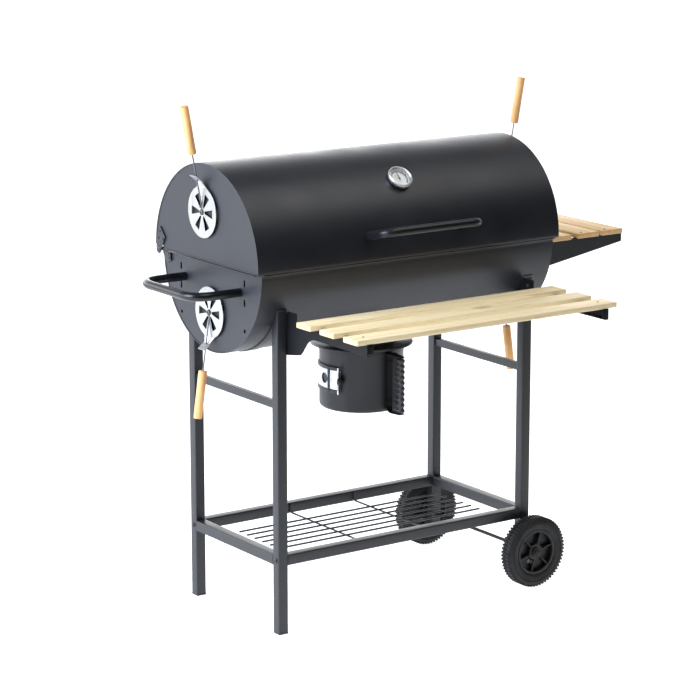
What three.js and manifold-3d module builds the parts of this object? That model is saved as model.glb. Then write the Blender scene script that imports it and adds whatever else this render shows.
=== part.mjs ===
// Barrel charcoal grill on a two-wheeled trolley, with front and side shelves and a hanging ash pot.
// Millimetres, +Z up. +X runs along the barrel to the wheel end, -Y is the front.
// The trolley's middle and the ash pot's axis lie over x = 0, y = 0. The barrel lies over y = 0 too, with
// its bowl and its lid each a few millimetres towards the handle end.
// The whole model is then moved so that its origin is under the middle of its outer box.

import * as THREE from 'three';
import { mergeVertices } from 'three/addons/utils/BufferGeometryUtils.js';
import Module from 'manifold-3d';

const wasm = await Module();
wasm.setup();

// ---------- driving dimensions ----------

const GAP = 0.3;                 // air left between pieces that touch
const SHEET = 1.5;               // thickness of the pressed steel sheet
const BARREL_STEPS = 32;         // flats round half of the barrel

const TROLLEY = { length: 717, width: 377, tube: 25, wall: 1.5 };
const RAIL_BOTTOM = 160.5;       // underside of the four lower rails
const BRACE = { bottom: { left: 522, right: 518 }, height: 18, depth: 15 };
const SADDLE_THICKNESS = 2;      // of the strap that carries the bowl on the legs
const LEG_ROUGH_TOP = 775;       // height of a leg before its top is coped to the saddle
const FOOT_PLUG = 3;             // thickness of the plug that closes a leg's foot
const WHEEL_LEG_BOTTOM = 64;     // the wheel-end legs stop short of the ground
const WIRE_SHELF = { wire: 4.5, halfLength: 291, bottom: 160.5, hookHeight: 8 };
const SHELF_LONG_WIRES = [-82, -49, -16.5, 16.5, 49, 82];
const SHELF_CROSS_WIRES = [-93, 93];

const BOWL = { x: -3, radius: 206, centreZ: 835, halfLength: 407, rim: 838, ledgeZ: 820 };
const LID = { x: -6, radius: 216, centreZ: 843.6, halfLength: 419.7, bottom: 839, rearBottom: 848 };
const LIP = { width: 9, top: 837.9, thickness: 1.5 };  // the bowl's folded rim
const LEDGE_WIDTH = 14;          // the two ledges inside the bowl that carry the cooking grates
const ASH_OUTLET_RADIUS = 70;

const HINGE = { y: 200, z: 837, pinRadius: 4, armEye: 10, armThickness: 2, bracketThickness: 3 };
const LID_NOTCH_Y = 184;         // the lid's end plates are cut up behind here to clear the hinge
const BRACKET_SLOTS = { y: 133, heights: [763, 807], halfWidth: 3, halfHeight: 8, screwZ: 700 };

const VENT = {
  radius: 58.5, offsetY: 5, upperZ: 950, lowerZ: 720, upperLean: 10.5, lowerLean: 8, standOff: 3.5, rivet: 4,
};
const VENT_SLOT = { count: 6, inner: 11, outer: 44, halfAngle: 13, shut: 30 };
const VENT_TAB = { bend: 71, tip: 83.5, out: 7, tipOut: 22, neckHalf: 9, halfWidth: 15 };
const VENT_STEM = { radius: 1.6, start: 12, gripStart: 132, gripLength: 110, gripRadius: 9.8 };

const PUSH_HANDLE = { z: 785, halfSpan: 115, reach: 526, radius: 10, corner: 50 };
const LID_HANDLE = { x: 9, halfSpan: 131, angle: 14, reach: 78, radius: 9.8, corner: 32 };
const THERMOMETER = { x: 5.7, angle: 47.5, radius: 29.5, depth: 13, stemRadius: 4, stemLength: 45 };

const SLAT_THICKNESS = 12;
const FRONT_SHELF = {
  top: 737, back: 262, pitch: 89.4, slatWidth: 54,
  bracketDepth: 25, tabTop: 746, tabFront: 226, legPlateBottom: 653, legPlateDrop: 10,
};
const SIDE_SHELF = {
  top: 825, end: 670, slatWidth: 65, slatSetbacks: [158, 73, 0], bracketY: 145, innerHeight: 63,
};

const WHEEL = {
  radius: 85.5, width: 36, rim: 55, x: 346, inner: { front: 203, rear: 190.5 }, shoulder: 7, spokes: 6,
};
const AXLE = { radius: 4, capRadius: 8, capThickness: 4 };

const POT = { radius: 99, top: 605, bottom: 451, flangeRadius: 121, neckRadius: 80 };
const POT_HANDLE = { angle: -84, reach: 147, width: 24, top: 592, bottom: 458, drop: 7 };
const POT_GRIP = { depth: 33, width: 14, corner: 4 };
const DAMPER = {
  low: 504, high: 550, from: 146, to: 205, hole: 12.5, holeAngle: 177, holeZ: 527, travel: 15,
};
const DAMPER_STRAP = { from: 185.3, to: 187.7, thickness: 1.5 };

// ---------- materials ----------

function finish(color, roughness, metalness) {
  return new THREE.MeshStandardMaterial({ color, roughness, metalness });
}

const BLACK_STEEL = finish(0x34363a, 0.45, 0.1);
const FRAME_STEEL = finish(0x3a3d40, 0.5, 0.1);
const CHROME = finish(0xd8d8d6, 0.2, 1.0);
const PINE = finish(0xe9d3a4, 0.7, 0.0);
const BEECH = finish(0xcf9d63, 0.6, 0.0);
const BLACK_PLASTIC = finish(0x202122, 0.6, 0.0);
const RUBBER = finish(0x242425, 0.85, 0.0);
const GRATE_STEEL = finish(0x8c8c8c, 0.35, 1.0);
const CHARCOAL_GRATE_STEEL = finish(0x2b2b2b, 0.6, 0.4);
const DIAL_WHITE = finish(0xf2f2ee, 0.5, 0.0);
const NEEDLE_BLACK = finish(0x1c1c1c, 0.5, 0.0);
const GLASS = finish(0xffffff, 0.05, 0.0);
GLASS.transparent = true;
GLASS.opacity = 0.3;

// ---------- solids and booleans ----------

// Turns a closed three.js geometry into a manifold solid.
function solid(geometry) {
  const bare = geometry.index ? geometry.toNonIndexed() : geometry.clone();
  bare.deleteAttribute('normal');
  bare.deleteAttribute('uv');
  const merged = mergeVertices(bare, 1e-4);
  const body = new wasm.Mesh({
    numProp: 3,
    vertProperties: merged.attributes.position.array,
    triVerts: merged.index.array,
  });
  return new wasm.Manifold(body);
}

// Turns a manifold solid back into a three.js geometry.
function geometryOf(manifold) {
  const body = manifold.getMesh();
  const geometry = new THREE.BufferGeometry();
  geometry.setAttribute('position', new THREE.BufferAttribute(new Float32Array(body.vertProperties), 3));
  geometry.setIndex(new THREE.BufferAttribute(new Uint32Array(body.triVerts), 1));
  geometry.computeVertexNormals();
  return geometry;
}

function cut(geometry, ...tools) {
  return geometryOf(tools.map(solid).reduce((rest, tool) => rest.subtract(tool), solid(geometry)));
}

function union(...geometries) {
  return geometryOf(geometries.map(solid).reduce((sum, next) => sum.add(next)));
}

function common(first, second) {
  return geometryOf(solid(first).intersect(solid(second)));
}

function block(x0, x1, y0, y1, z0, z1) {
  const geometry = new THREE.BoxGeometry(x1 - x0, y1 - y0, z1 - z0);
  return geometry.translate((x0 + x1) / 2, (y0 + y1) / 2, (z0 + z1) / 2);
}

// A round bar along X between two x values.
function barAlongX(radius, x0, x1, y, z, sides = 12) {
  const geometry = new THREE.CylinderGeometry(radius, radius, x1 - x0, sides);
  return geometry.rotateZ(Math.PI / 2).translate((x0 + x1) / 2, y, z);
}

// A round bar along Y between two y values.
function barAlongY(radius, y0, y1, x, z, sides = 12) {
  return new THREE.CylinderGeometry(radius, radius, y1 - y0, sides).translate(x, (y0 + y1) / 2, z);
}

// A round bar along Z between two z values.
function barAlongZ(radius, z0, z1, x, y, sides = 12) {
  const geometry = new THREE.CylinderGeometry(radius, radius, z1 - z0, sides);
  return geometry.rotateX(Math.PI / 2).translate(x, y, (z0 + z1) / 2);
}

function shapeOf(points) {
  return new THREE.Shape(points.map(([u, v]) => new THREE.Vector2(u, v)));
}

function extruded(shape, depth) {
  return new THREE.ExtrudeGeometry(shape, { depth, bevelEnabled: false, curveSegments: 24 });
}

// A plate whose outline is given in (y, z), lying between two x values.
function plateAcrossX(shape, x0, x1) {
  const geometry = extruded(shape, x1 - x0);
  return geometry.applyMatrix4(new THREE.Matrix4().makeBasis(
    new THREE.Vector3(0, 1, 0), new THREE.Vector3(0, 0, 1), new THREE.Vector3(1, 0, 0))).translate(x0, 0, 0);
}

// A plate whose outline is given in (x, z), lying between two y values.
function plateAcrossY(shape, y0, y1) {
  return extruded(shape, y1 - y0).rotateX(Math.PI / 2).translate(0, y1, 0);
}

function polar(radius, degrees, centreU = 0, centreV = 0) {
  const angle = THREE.MathUtils.degToRad(degrees);
  return [centreU + radius * Math.cos(angle), centreV + radius * Math.sin(angle)];
}

// Points along a circular arc, both ends included.
function arc(radius, fromDegrees, toDegrees, steps, centreU = 0, centreV = 0) {
  return Array.from({ length: steps + 1 }, (_, i) => (
    polar(radius, fromDegrees + ((toDegrees - fromDegrees) * i) / steps, centreU, centreV)));
}

// A path of straight runs whose corners are rounded off.
function roundedPath(points, corner) {
  const path = new THREE.CurvePath();
  let start = points[0];
  for (let i = 1; i < points.length - 1; i += 1) {
    const before = points[i].clone().add(
      points[i - 1].clone().sub(points[i]).setLength(corner));
    const after = points[i].clone().add(
      points[i + 1].clone().sub(points[i]).setLength(corner));
    path.add(new THREE.LineCurve3(start, before));
    path.add(new THREE.QuadraticBezierCurve3(before, points[i], after));
    start = after;
  }
  path.add(new THREE.LineCurve3(start, points[points.length - 1]));
  return path;
}

function tubeAlong(path, radius, steps, sides = 8) {
  const section = shapeOf(arc(radius, 0, 360 - 360 / sides, sides - 1));
  return new THREE.ExtrudeGeometry(section, { steps, bevelEnabled: false, extrudePath: path });
}

function lathe(points, segments) {
  return new THREE.LatheGeometry(points.map(([r, h]) => new THREE.Vector2(r, h)), segments);
}

// ---------- the model tree ----------

const model = new THREE.Group();
const bowlGroup = new THREE.Group();
const lidGroup = new THREE.Group();
const potGroup = new THREE.Group();
bowlGroup.position.x = BOWL.x;
lidGroup.position.x = LID.x;
model.add(bowlGroup, lidGroup, potGroup);

function add(name, geometry, material, parent = model) {
  const mesh = new THREE.Mesh(geometry, material);
  mesh.name = name;
  parent.add(mesh);
  return mesh;
}

const ENDS = [['left', -1], ['right', 1]];
const SIDES = [['front', -1], ['rear', 1]];

// ---------- trolley ----------

const legOuterX = TROLLEY.length / 2;
const legInnerX = legOuterX - TROLLEY.tube;
const legOuterY = TROLLEY.width / 2;
const legInnerY = legOuterY - TROLLEY.tube;
const railTop = RAIL_BOTTOM + TROLLEY.tube;
const saddleOuter = BOWL.radius + GAP + SADDLE_THICKNESS;

function span(sign, near, far) {
  return sign > 0 ? [near, far] : [-far, -near];
}

// Square tube along one axis, given as the outer box and the axis letter that stays open.
function squareTube(box, openAxis) {
  const wall = TROLLEY.wall;
  const overrun = 1;
  const grow = [0, 1, 2].map((axis) => ('xyz'[axis] === openAxis ? -overrun : wall));
  const [x0, x1, y0, y1, z0, z1] = box;
  const bore = block(x0 + grow[0], x1 - grow[0], y0 + grow[1], y1 - grow[1], z0 + grow[2], z1 - grow[2]);
  return cut(block(...box), bore);
}

// A leg stands under the barrel: its top is coped to the saddle's round underside.
function buildLeg(endSign, sideSign) {
  const [x0, x1] = span(endSign, legInnerX, legOuterX);
  const [y0, y1] = span(sideSign, legInnerY, legOuterY);
  const bottom = endSign > 0 ? WHEEL_LEG_BOTTOM : 0;
  const bore = block(x0 + TROLLEY.wall, x1 - TROLLEY.wall, y0 + TROLLEY.wall, y1 - TROLLEY.wall,
    bottom + FOOT_PLUG, LEG_ROUGH_TOP + 1);
  const cope = barAlongX(saddleOuter + GAP, x0 - 1, x1 + 1, 0, BOWL.centreZ, 96);
  const tools = [bore, cope];
  if (endSign > 0) tools.push(barAlongY(AXLE.radius + GAP, y0 - 1, y1 + 1, WHEEL.x, WHEEL.radius));
  return cut(block(x0, x1, y0, y1, bottom, LEG_ROUGH_TOP), ...tools);
}

function buildTrolley() {
  for (const [end, endSign] of ENDS) {
    for (const [side, sideSign] of SIDES) {
      add(`leg_${side}_${end}`, buildLeg(endSign, sideSign), FRAME_STEEL);
    }
    const [railX0, railX1] = span(endSign, legInnerX, legOuterX);
    const railY = legInnerY - GAP;
    add(`side_rail_${end}`,
      squareTube([railX0, railX1, -railY, railY, RAIL_BOTTOM, railTop], 'y'), FRAME_STEEL);
    const braceInset = (TROLLEY.tube - BRACE.depth) / 2;
    const braceBottom = BRACE.bottom[end];
    const [braceX0, braceX1] = span(endSign, legInnerX + braceInset, legOuterX - braceInset);
    add(`side_brace_${end}`,
      squareTube([braceX0, braceX1, -railY, railY, braceBottom, braceBottom + BRACE.height], 'y'),
      FRAME_STEEL);
    add(`saddle_${end}`, buildSaddle(railX0, railX1), FRAME_STEEL);
  }
  for (const [side, sideSign] of SIDES) {
    const [y0, y1] = span(sideSign, legInnerY, legOuterY);
    const railX = legInnerX - GAP;
    add(`long_rail_${side}`, squareTube([-railX, railX, y0, y1, RAIL_BOTTOM, railTop], 'x'), FRAME_STEEL);
  }
}

// The strap that carries the bowl runs under it from one leg's outer face to the other's.
function buildSaddle(x0, x1) {
  const inner = BOWL.radius + GAP;
  const reach = THREE.MathUtils.radToDeg(Math.asin(legOuterY / inner));
  const outline = [
    ...arc(inner, -90 - reach, -90 + reach, 24, 0, BOWL.centreZ),
    ...arc(saddleOuter, -90 + reach, -90 - reach, 24, 0, BOWL.centreZ),
  ];
  return plateAcrossX(shapeOf(outline), x0, x1);
}

// Bottom shelf: long wires over four cross wires, whose ends turn up against the long rails.
function buildWireShelf() {
  const { wire, halfLength, bottom, hookHeight } = WIRE_SHELF;
  const weldDepth = 1;
  const longZ = bottom + wire - weldDepth;
  const railFace = legInnerY - GAP;
  const pieces = [];
  for (const y of SHELF_LONG_WIRES) {
    pieces.push(block(-halfLength, halfLength, y - wire / 2, y + wire / 2, longZ, longZ + wire));
  }
  for (const x of SHELF_CROSS_WIRES) {
    const [x0, x1] = [x - wire / 2, x + wire / 2];
    pieces.push(block(x0, x1, -railFace, railFace, bottom, bottom + wire));
    for (const [, sign] of SIDES) {
      const [y0, y1] = span(sign, railFace - wire, railFace);
      pieces.push(block(x0, x1, y0, y1, bottom, bottom + hookHeight));
    }
  }
  add('wire_shelf', union(...pieces), FRAME_STEEL);
}

// ---------- wheels ----------

function buildWheels() {
  const { radius, capRadius, capThickness } = AXLE;
  const frontEnd = -(WHEEL.inner.front + WHEEL.width + 1);
  const rearEnd = WHEEL.inner.rear + WHEEL.width + 1;
  const axle = lathe([
    [0, frontEnd - capThickness], [capRadius, frontEnd - capThickness], [capRadius, frontEnd],
    [radius, frontEnd], [radius, rearEnd], [capRadius, rearEnd], [capRadius, rearEnd + capThickness],
    [0, rearEnd + capThickness],
  ], 12);
  add('axle', axle, CHROME).position.set(WHEEL.x, 0, WHEEL.radius);
  for (const [side, sideSign] of SIDES) {
    const centreY = sideSign * (WHEEL.inner[side] + WHEEL.width / 2);
    add(`tyre_${side}`, buildTyre(), RUBBER).position.set(WHEEL.x, centreY, WHEEL.radius);
    add(`hub_${side}`, buildHub(), BLACK_PLASTIC).position.set(WHEEL.x, centreY, WHEEL.radius);
  }
}

function buildTyre() {
  const { radius, rim, shoulder } = WHEEL;
  const half = WHEEL.width / 2;
  const sideInset = 4;
  return lathe([
    [rim, -half + sideInset], [radius - shoulder, -half], [radius, -half + shoulder],
    [radius, half - shoulder], [radius - shoulder, half], [rim, half - sideInset],
    [rim, -half + sideInset],
  ], 32);
}

// Moulded hub: an outer rim, six deep spokes, a thin web with two small holes, and a bearing boss that
// turns on the axle.
function buildHub() {
  const rimOuter = WHEEL.rim - GAP;
  const rimInner = rimOuter - 8;
  const half = WHEEL.width / 2 - 4;
  const boss = { radius: 13, half: WHEEL.width / 2 };
  const spoke = { halfWidth: 2.5, halfDepth: 13, firstAngle: -Math.PI / 12 };
  const rim = lathe([
    [rimInner, -half], [rimOuter, -half], [rimOuter, half], [rimInner, half], [rimInner, -half],
  ], 24);
  const spokes = Array.from({ length: WHEEL.spokes }, (_, i) => (
    block(boss.radius - 3, rimInner + 2, -spoke.halfDepth, spoke.halfDepth, -spoke.halfWidth, spoke.halfWidth)
      .rotateY((i * 2 * Math.PI) / WHEEL.spokes + spoke.firstAngle)));
  const web = { halfThickness: 1.5, holeRadius: 5, holeAt: 27, holeAngle: -Math.PI / 3 };
  const disc = barAlongY(rimInner + 2, -web.halfThickness, web.halfThickness, 0, 0, 24);
  const holes = [0, Math.PI].map((turn) => (
    barAlongY(web.holeRadius, -web.halfThickness - 1, web.halfThickness + 1, web.holeAt, 0, 12)
      .rotateY(web.holeAngle + turn)));
  const centre = barAlongY(boss.radius, -boss.half, boss.half, 0, 0, 12);
  const bore = barAlongY(AXLE.radius + GAP, -boss.half - 1, boss.half + 1, 0, 0, 12);
  return cut(union(rim, disc, centre, ...spokes), bore, ...holes);
}

// ---------- barrel ----------

// Six wedge openings, used both in the end plates and in the vent discs in front of them. The plate's
// are half a step round from the disc's, so the vents are shut until the discs are turned.
function ventWedges(x0, x1, centreY, centreZ, turned = 0) {
  const { count, inner, outer, halfAngle } = VENT_SLOT;
  return Array.from({ length: count }, (_, i) => {
    const middle = (i * 360) / count + turned;
    return plateAcrossX(shapeOf([
      polar(inner, middle - halfAngle, centreY, centreZ),
      polar(outer, middle - halfAngle, centreY, centreZ),
      polar(outer, middle + halfAngle, centreY, centreZ),
      polar(inner, middle + halfAngle, centreY, centreZ),
    ]), x0, x1);
  });
}

// The same pressing closes both ends, turned round, so the vent sits behind the axis on the left
// and in front of it on the right.
function ventY(endSign) {
  return -endSign * VENT.offsetY;
}

function buildBowl() {
  const { radius, centreZ, rim, halfLength, ledgeZ } = BOWL;
  const inner = radius - SHEET;
  const shellEnd = halfLength - SHEET - GAP;
  const topAngle = THREE.MathUtils.radToDeg(Math.asin((rim - centreZ) / radius));
  const wall = plateAcrossX(shapeOf([
    ...arc(radius, 180 - topAngle, 360 + topAngle, BARREL_STEPS, 0, centreZ),
    ...arc(inner, 360 + topAngle, 180 - topAngle, BARREL_STEPS, 0, centreZ),
  ]), -shellEnd, shellEnd);
  const weld = 0.2;
  const lipBottom = LIP.top - LIP.thickness;
  const frontLip = block(-shellEnd, shellEnd, -radius - LIP.width, -inner - weld, lipBottom, LIP.top);
  const ledges = SIDES.map(([, sign]) => {
    const [y0, y1] = span(sign, inner - LEDGE_WIDTH, inner + weld);
    return block(-shellEnd, shellEnd, y0, y1, ledgeZ, ledgeZ + SHEET);
  });
  const outlet = barAlongZ(ASH_OUTLET_RADIUS, centreZ - radius - 20, centreZ - radius + 40, -BOWL.x, 0, 32);
  add('bowl_shell', cut(union(wall, frontLip, ...ledges), outlet), BLACK_STEEL, bowlGroup);
  for (const [end, endSign] of ENDS) {
    add(`bowl_end_${end}`, buildBowlEnd(endSign), BLACK_STEEL, bowlGroup);
  }
}

// Bowl end plate: folded rim, vent openings, and the slots and holes that the shelf brackets use.
function buildBowlEnd(endSign) {
  const { radius, centreZ, rim, halfLength } = BOWL;
  const topAngle = THREE.MathUtils.radToDeg(Math.asin((rim - centreZ) / radius));
  const [x0, x1] = span(endSign, halfLength - SHEET, halfLength);
  const outline = arc(radius, 180 - topAngle, 360 + topAngle, BARREL_STEPS, 0, centreZ);
  const plate = plateAcrossX(shapeOf(outline), x0, x1);
  const [lipX0, lipX1] = span(endSign, halfLength - 0.2, halfLength + LIP.width - 2);
  const lipRear = LID_NOTCH_Y - 22;
  const lip = block(lipX0, lipX1, -radius + 1, lipRear, LIP.top - LIP.thickness, LIP.top);
  const tools = ventWedges(x0 - 1, x1 + 1, ventY(endSign), VENT.lowerZ, VENT_SLOT.shut);
  const { halfWidth, halfHeight, heights, screwZ } = BRACKET_SLOTS;
  for (const y of [-BRACKET_SLOTS.y, BRACKET_SLOTS.y]) {
    for (const z of heights) {
      tools.push(block(x0 - 1, x1 + 1, y - halfWidth, y + halfWidth, z - halfHeight, z + halfHeight));
    }
    tools.push(barAlongX(4, x0 - 1, x1 + 1, y, screwZ, 8));
  }
  return cut(union(plate, lip), ...tools);
}

function buildLid() {
  const { radius, centreZ, halfLength } = LID;
  const inner = radius - SHEET;
  const shellEnd = halfLength - SHEET - GAP;
  const [front, rear] = lidEdgeAngles();
  const wall = plateAcrossX(shapeOf([
    ...arc(radius, rear, front, BARREL_STEPS, 0, centreZ),
    ...arc(inner, front, rear, BARREL_STEPS, 0, centreZ),
  ]), -shellEnd, shellEnd);
  const holeRadius = THERMOMETER.stemRadius + 1;
  const stemHole = new THREE.CylinderGeometry(holeRadius, holeRadius, 20, 12)
    .translate(0, radius, 0).applyMatrix4(radialPlacement(THERMOMETER.angle, THERMOMETER.x));
  add('lid_shell', cut(wall, stemHole), BLACK_STEEL, lidGroup);
  for (const [end, endSign] of ENDS) add(`lid_end_${end}`, buildLidEnd(endSign), BLACK_STEEL, lidGroup);
}

// Angles, in the (y, z) plane, of the lid's front and rear lower edges.
function lidEdgeAngles() {
  const front = THREE.MathUtils.radToDeg(Math.asin((LID.centreZ - LID.bottom) / LID.radius));
  const rear = THREE.MathUtils.radToDeg(Math.asin((LID.rearBottom - LID.centreZ) / LID.radius));
  return [180 + front, rear];
}

function buildLidEnd(endSign) {
  const { radius, centreZ, halfLength, bottom, rearBottom } = LID;
  const [front, rear] = lidEdgeAngles();
  const [x0, x1] = span(endSign, halfLength - SHEET, halfLength);
  const outline = [
    ...arc(radius, rear, front, BARREL_STEPS, 0, centreZ),
    [LID_NOTCH_Y, bottom], [LID_NOTCH_Y, rearBottom],
  ];
  const slots = ventWedges(x0 - 1, x1 + 1, ventY(endSign), VENT.upperZ, VENT_SLOT.shut);
  return cut(plateAcrossX(shapeOf(outline), x0, x1), ...slots);
}

// Moves a piece built along +Y outwards along the lid's radius at the given angle above the front.
function radialPlacement(angleDegrees, x) {
  const angle = THREE.MathUtils.degToRad(angleDegrees);
  const outward = new THREE.Vector3(0, -Math.cos(angle), Math.sin(angle));
  const along = new THREE.Vector3(1, 0, 0);
  const across = new THREE.Vector3().crossVectors(along, outward);
  return new THREE.Matrix4().makeBasis(along, outward, across).setPosition(x, 0, LID.centreZ);
}

// ---------- lid hinges ----------

// A teardrop arm bolted to the lid's end plate hangs on a pin riveted into a bracket on the bowl.
function buildHinges() {
  const { y, z, armEye, armThickness, pinRadius } = HINGE;
  const armTip = [y - 5, z + 49];
  for (const [end, endSign] of ENDS) {
    const [armX0, armX1] = span(endSign, LID.halfLength + GAP, LID.halfLength + GAP + armThickness);
    const arm = plateAcrossX(shapeOf([
      ...arc(armEye, -180, 0, 8, y, z),
      [y + 9, z + 25], ...arc(5, 0, 140, 4, ...armTip), [y - 28, z + 31],
    ]), armX0, armX1);
    const eye = barAlongX(pinRadius + GAP, armX0 - 1, armX1 + 1, y, z);
    add(`hinge_arm_${end}`, cut(arm, eye), FRAME_STEEL, lidGroup);
    add(`hinge_bracket_${end}`, buildHingeBracket(endSign), FRAME_STEEL, bowlGroup);
  }
}

// The bracket on the bowl, with the pin and its riveted head.
function buildHingeBracket(endSign) {
  const { y, z, pinRadius, armThickness, bracketThickness } = HINGE;
  const face = BOWL.halfLength + GAP;
  const armOuter = LID.halfLength + endSign * (LID.x - BOWL.x) + GAP + armThickness;
  const headThickness = 2;
  const [x0, x1] = span(endSign, face, face + bracketThickness);
  const plate = plateAcrossX(shapeOf([
    [y - 28, z - 25], [y - 8, z - 31], [y + 5, z - 11], ...arc(7, -20, 140, 6, y, z), [y - 26, z - 7],
  ]), x0, x1);
  const [pinX0, pinX1] = span(endSign, face + 1, armOuter + headThickness);
  const [headX0, headX1] = span(endSign, armOuter + GAP, armOuter + GAP + headThickness);
  const pin = barAlongX(pinRadius, pinX0, pinX1, y, z);
  return union(plate, pin, barAlongX(pinRadius + 3, headX0, headX1, y, z));
}

// ---------- vents ----------

// A turning disc with wedge openings, a T-shaped tab bent outwards, and a wire stem for a wooden grip.
// Built for the left end with its stem upwards, about the disc's own centre, outwards along -X. The
// rivet through its middle keeps it a little way off the end plate.
function buildVent(lean) {
  const { start, gripStart, radius } = VENT_STEM;
  const slope = Math.tan(THREE.MathUtils.degToRad(lean));
  const outwardAt = (height) => -(SHEET + 1 + (height - start) * slope);
  const disc = barAlongX(VENT.radius, -SHEET, 0, 0, 0, 24);
  const rivet = barAlongX(VENT.rivet, -SHEET - 2, VENT.standOff, 0, 0, 12);
  const body = cut(union(disc, rivet, buildVentTab()), ...ventWedges(-SHEET - 1, 1, 0, 0));
  const stemEnd = gripStart + 30;
  const stem = tubeAlong(new THREE.LineCurve3(
    new THREE.Vector3(outwardAt(start) + radius - 0.2, 0, start - 6),
    new THREE.Vector3(outwardAt(stemEnd), 0, stemEnd)), radius, 1, 6);
  return union(body, stem);
}

// The tab: its side view is the bent sheet, and its front view narrows to a neck and ends in a T.
function buildVentTab() {
  const { bend, tip, out, tipOut, neckHalf, halfWidth } = VENT_TAB;
  const rootHalf = 30;
  const [rootLow, rootHigh] = [46, 56];
  const side = plateAcrossY(shapeOf([
    [0, rootLow], [0, rootHigh], [-out, bend], [-tipOut, tip], [-tipOut - 1, tip - 1.1],
    [-out - 1.3, bend - 1], [-SHEET, rootHigh - 0.5], [-SHEET, rootLow],
  ]), -rootHalf, rootHalf);
  const front = plateAcrossX(shapeOf([
    [-rootHalf, rootLow - 1], [rootHalf, rootLow - 1], [neckHalf, bend - 2], [halfWidth, bend - 2],
    [halfWidth, tip + 1], [-halfWidth, tip + 1], [-halfWidth, bend - 2], [-neckHalf, bend - 2],
  ]), -tipOut - 2, 1);
  return common(side, front);
}

function buildVentGrip() {
  const { gripLength, gripRadius, radius } = VENT_STEM;
  const body = lathe([
    [0, 0], [gripRadius - 1.5, 0], [gripRadius, 2], [gripRadius, gripLength - 2],
    [gripRadius - 1.5, gripLength], [0, gripLength],
  ], 12);
  const socket = new THREE.CylinderGeometry(radius + 0.5, radius + 0.5, 36, 6).translate(0, 16, 0);
  return cut(body, socket).rotateX(Math.PI / 2);
}

// Places one vent. Upper vents stand up on the lid, lower vents hang down on the bowl.
function addVent(end, endSign, level, lean, faceX, z, parent) {
  const slope = Math.tan(THREE.MathUtils.degToRad(lean));
  const holder = new THREE.Group();
  holder.position.set(endSign * faceX, ventY(endSign), z);
  const flipEnd = endSign > 0 ? Math.PI : 0;
  const hang = level === 'lower' ? Math.PI : 0;
  holder.rotation.set(hang, 0, flipEnd, 'ZXY');
  parent.add(holder);
  add(`vent_${level}_${end}`, buildVent(lean), CHROME, holder);
  const grip = add(`vent_grip_${level}_${end}`, buildVentGrip(), BEECH, holder);
  const offset = SHEET + 1 + (VENT_STEM.gripStart - VENT_STEM.start) * slope;
  grip.position.set(-offset, 0, VENT_STEM.gripStart);
  grip.rotation.y = -THREE.MathUtils.degToRad(lean);
}

function buildVents() {
  const air = GAP + VENT.standOff;
  for (const [end, endSign] of ENDS) {
    addVent(end, endSign, 'upper', VENT.upperLean, LID.halfLength + air, VENT.upperZ, lidGroup);
    addVent(end, endSign, 'lower', VENT.lowerLean, BOWL.halfLength + air, VENT.lowerZ, bowlGroup);
  }
}

// ---------- handles and thermometer ----------

function buildPushHandle() {
  const { z, halfSpan, reach, radius, corner } = PUSH_HANDLE;
  const root = BOWL.halfLength + GAP;
  const corners = [[-root, -halfSpan], [-reach, -halfSpan], [-reach, halfSpan], [-root, halfSpan]];
  const path = roundedPath(corners.map(([x, y]) => new THREE.Vector3(x, y, z)), corner);
  add('push_handle', tubeAlong(path, radius, 20), BLACK_STEEL, bowlGroup);
}

function buildLidHandle() {
  const { x: middleX, halfSpan, angle, reach, radius, corner } = LID_HANDLE;
  const root = LID.radius + 0.5;
  const grip = LID.radius + reach;
  const corners = [[-halfSpan, root], [-halfSpan, grip], [halfSpan, grip], [halfSpan, root]];
  const path = roundedPath(corners.map(([x, y]) => new THREE.Vector3(x, y, 0)), corner);
  const bar = tubeAlong(path, radius, 20).applyMatrix4(radialPlacement(angle, middleX));
  add('lid_handle', bar, BLACK_STEEL, lidGroup);
}

// Thermometer: a cup on a probe that goes through the lid, with a dial, a needle and a glass.
function buildThermometer() {
  const { radius, depth, stemRadius, stemLength } = THERMOMETER;
  const holder = new THREE.Group();
  holder.applyMatrix4(radialPlacement(THERMOMETER.angle, THERMOMETER.x));
  lidGroup.add(holder);
  const base = LID.radius + 2;
  const floor = base + 2;
  const front = base + depth;
  const cup = lathe([
    [0, LID.radius - stemLength], [stemRadius, LID.radius - stemLength], [stemRadius, base],
    [radius - 3, base], [radius, base + 3], [radius, front - 2], [radius - 3, front],
    [radius - 5, front], [radius - 5, floor], [0, floor],
  ], 20);
  add('thermometer_housing', cup, CHROME, holder);
  const facing = radius - 5 - GAP;
  const dialTop = floor + GAP + 1;
  add('thermometer_dial', disc(facing, floor + GAP, dialTop, 20), DIAL_WHITE, holder);
  const needle = union(disc(2.5, dialTop + GAP, dialTop + 2, 10),
    block(-1, 1, dialTop + 0.6, dialTop + 1.4, -6, 17));
  add('thermometer_needle', needle, NEEDLE_BLACK, holder);
  add('thermometer_glass', disc(facing, front - 3.5, front - 2, 20), GLASS, holder);
}

function disc(radius, low, high, sides) {
  return new THREE.CylinderGeometry(radius, radius, high - low, sides).translate(0, (low + high) / 2, 0);
}

// ---------- shelves ----------

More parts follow.
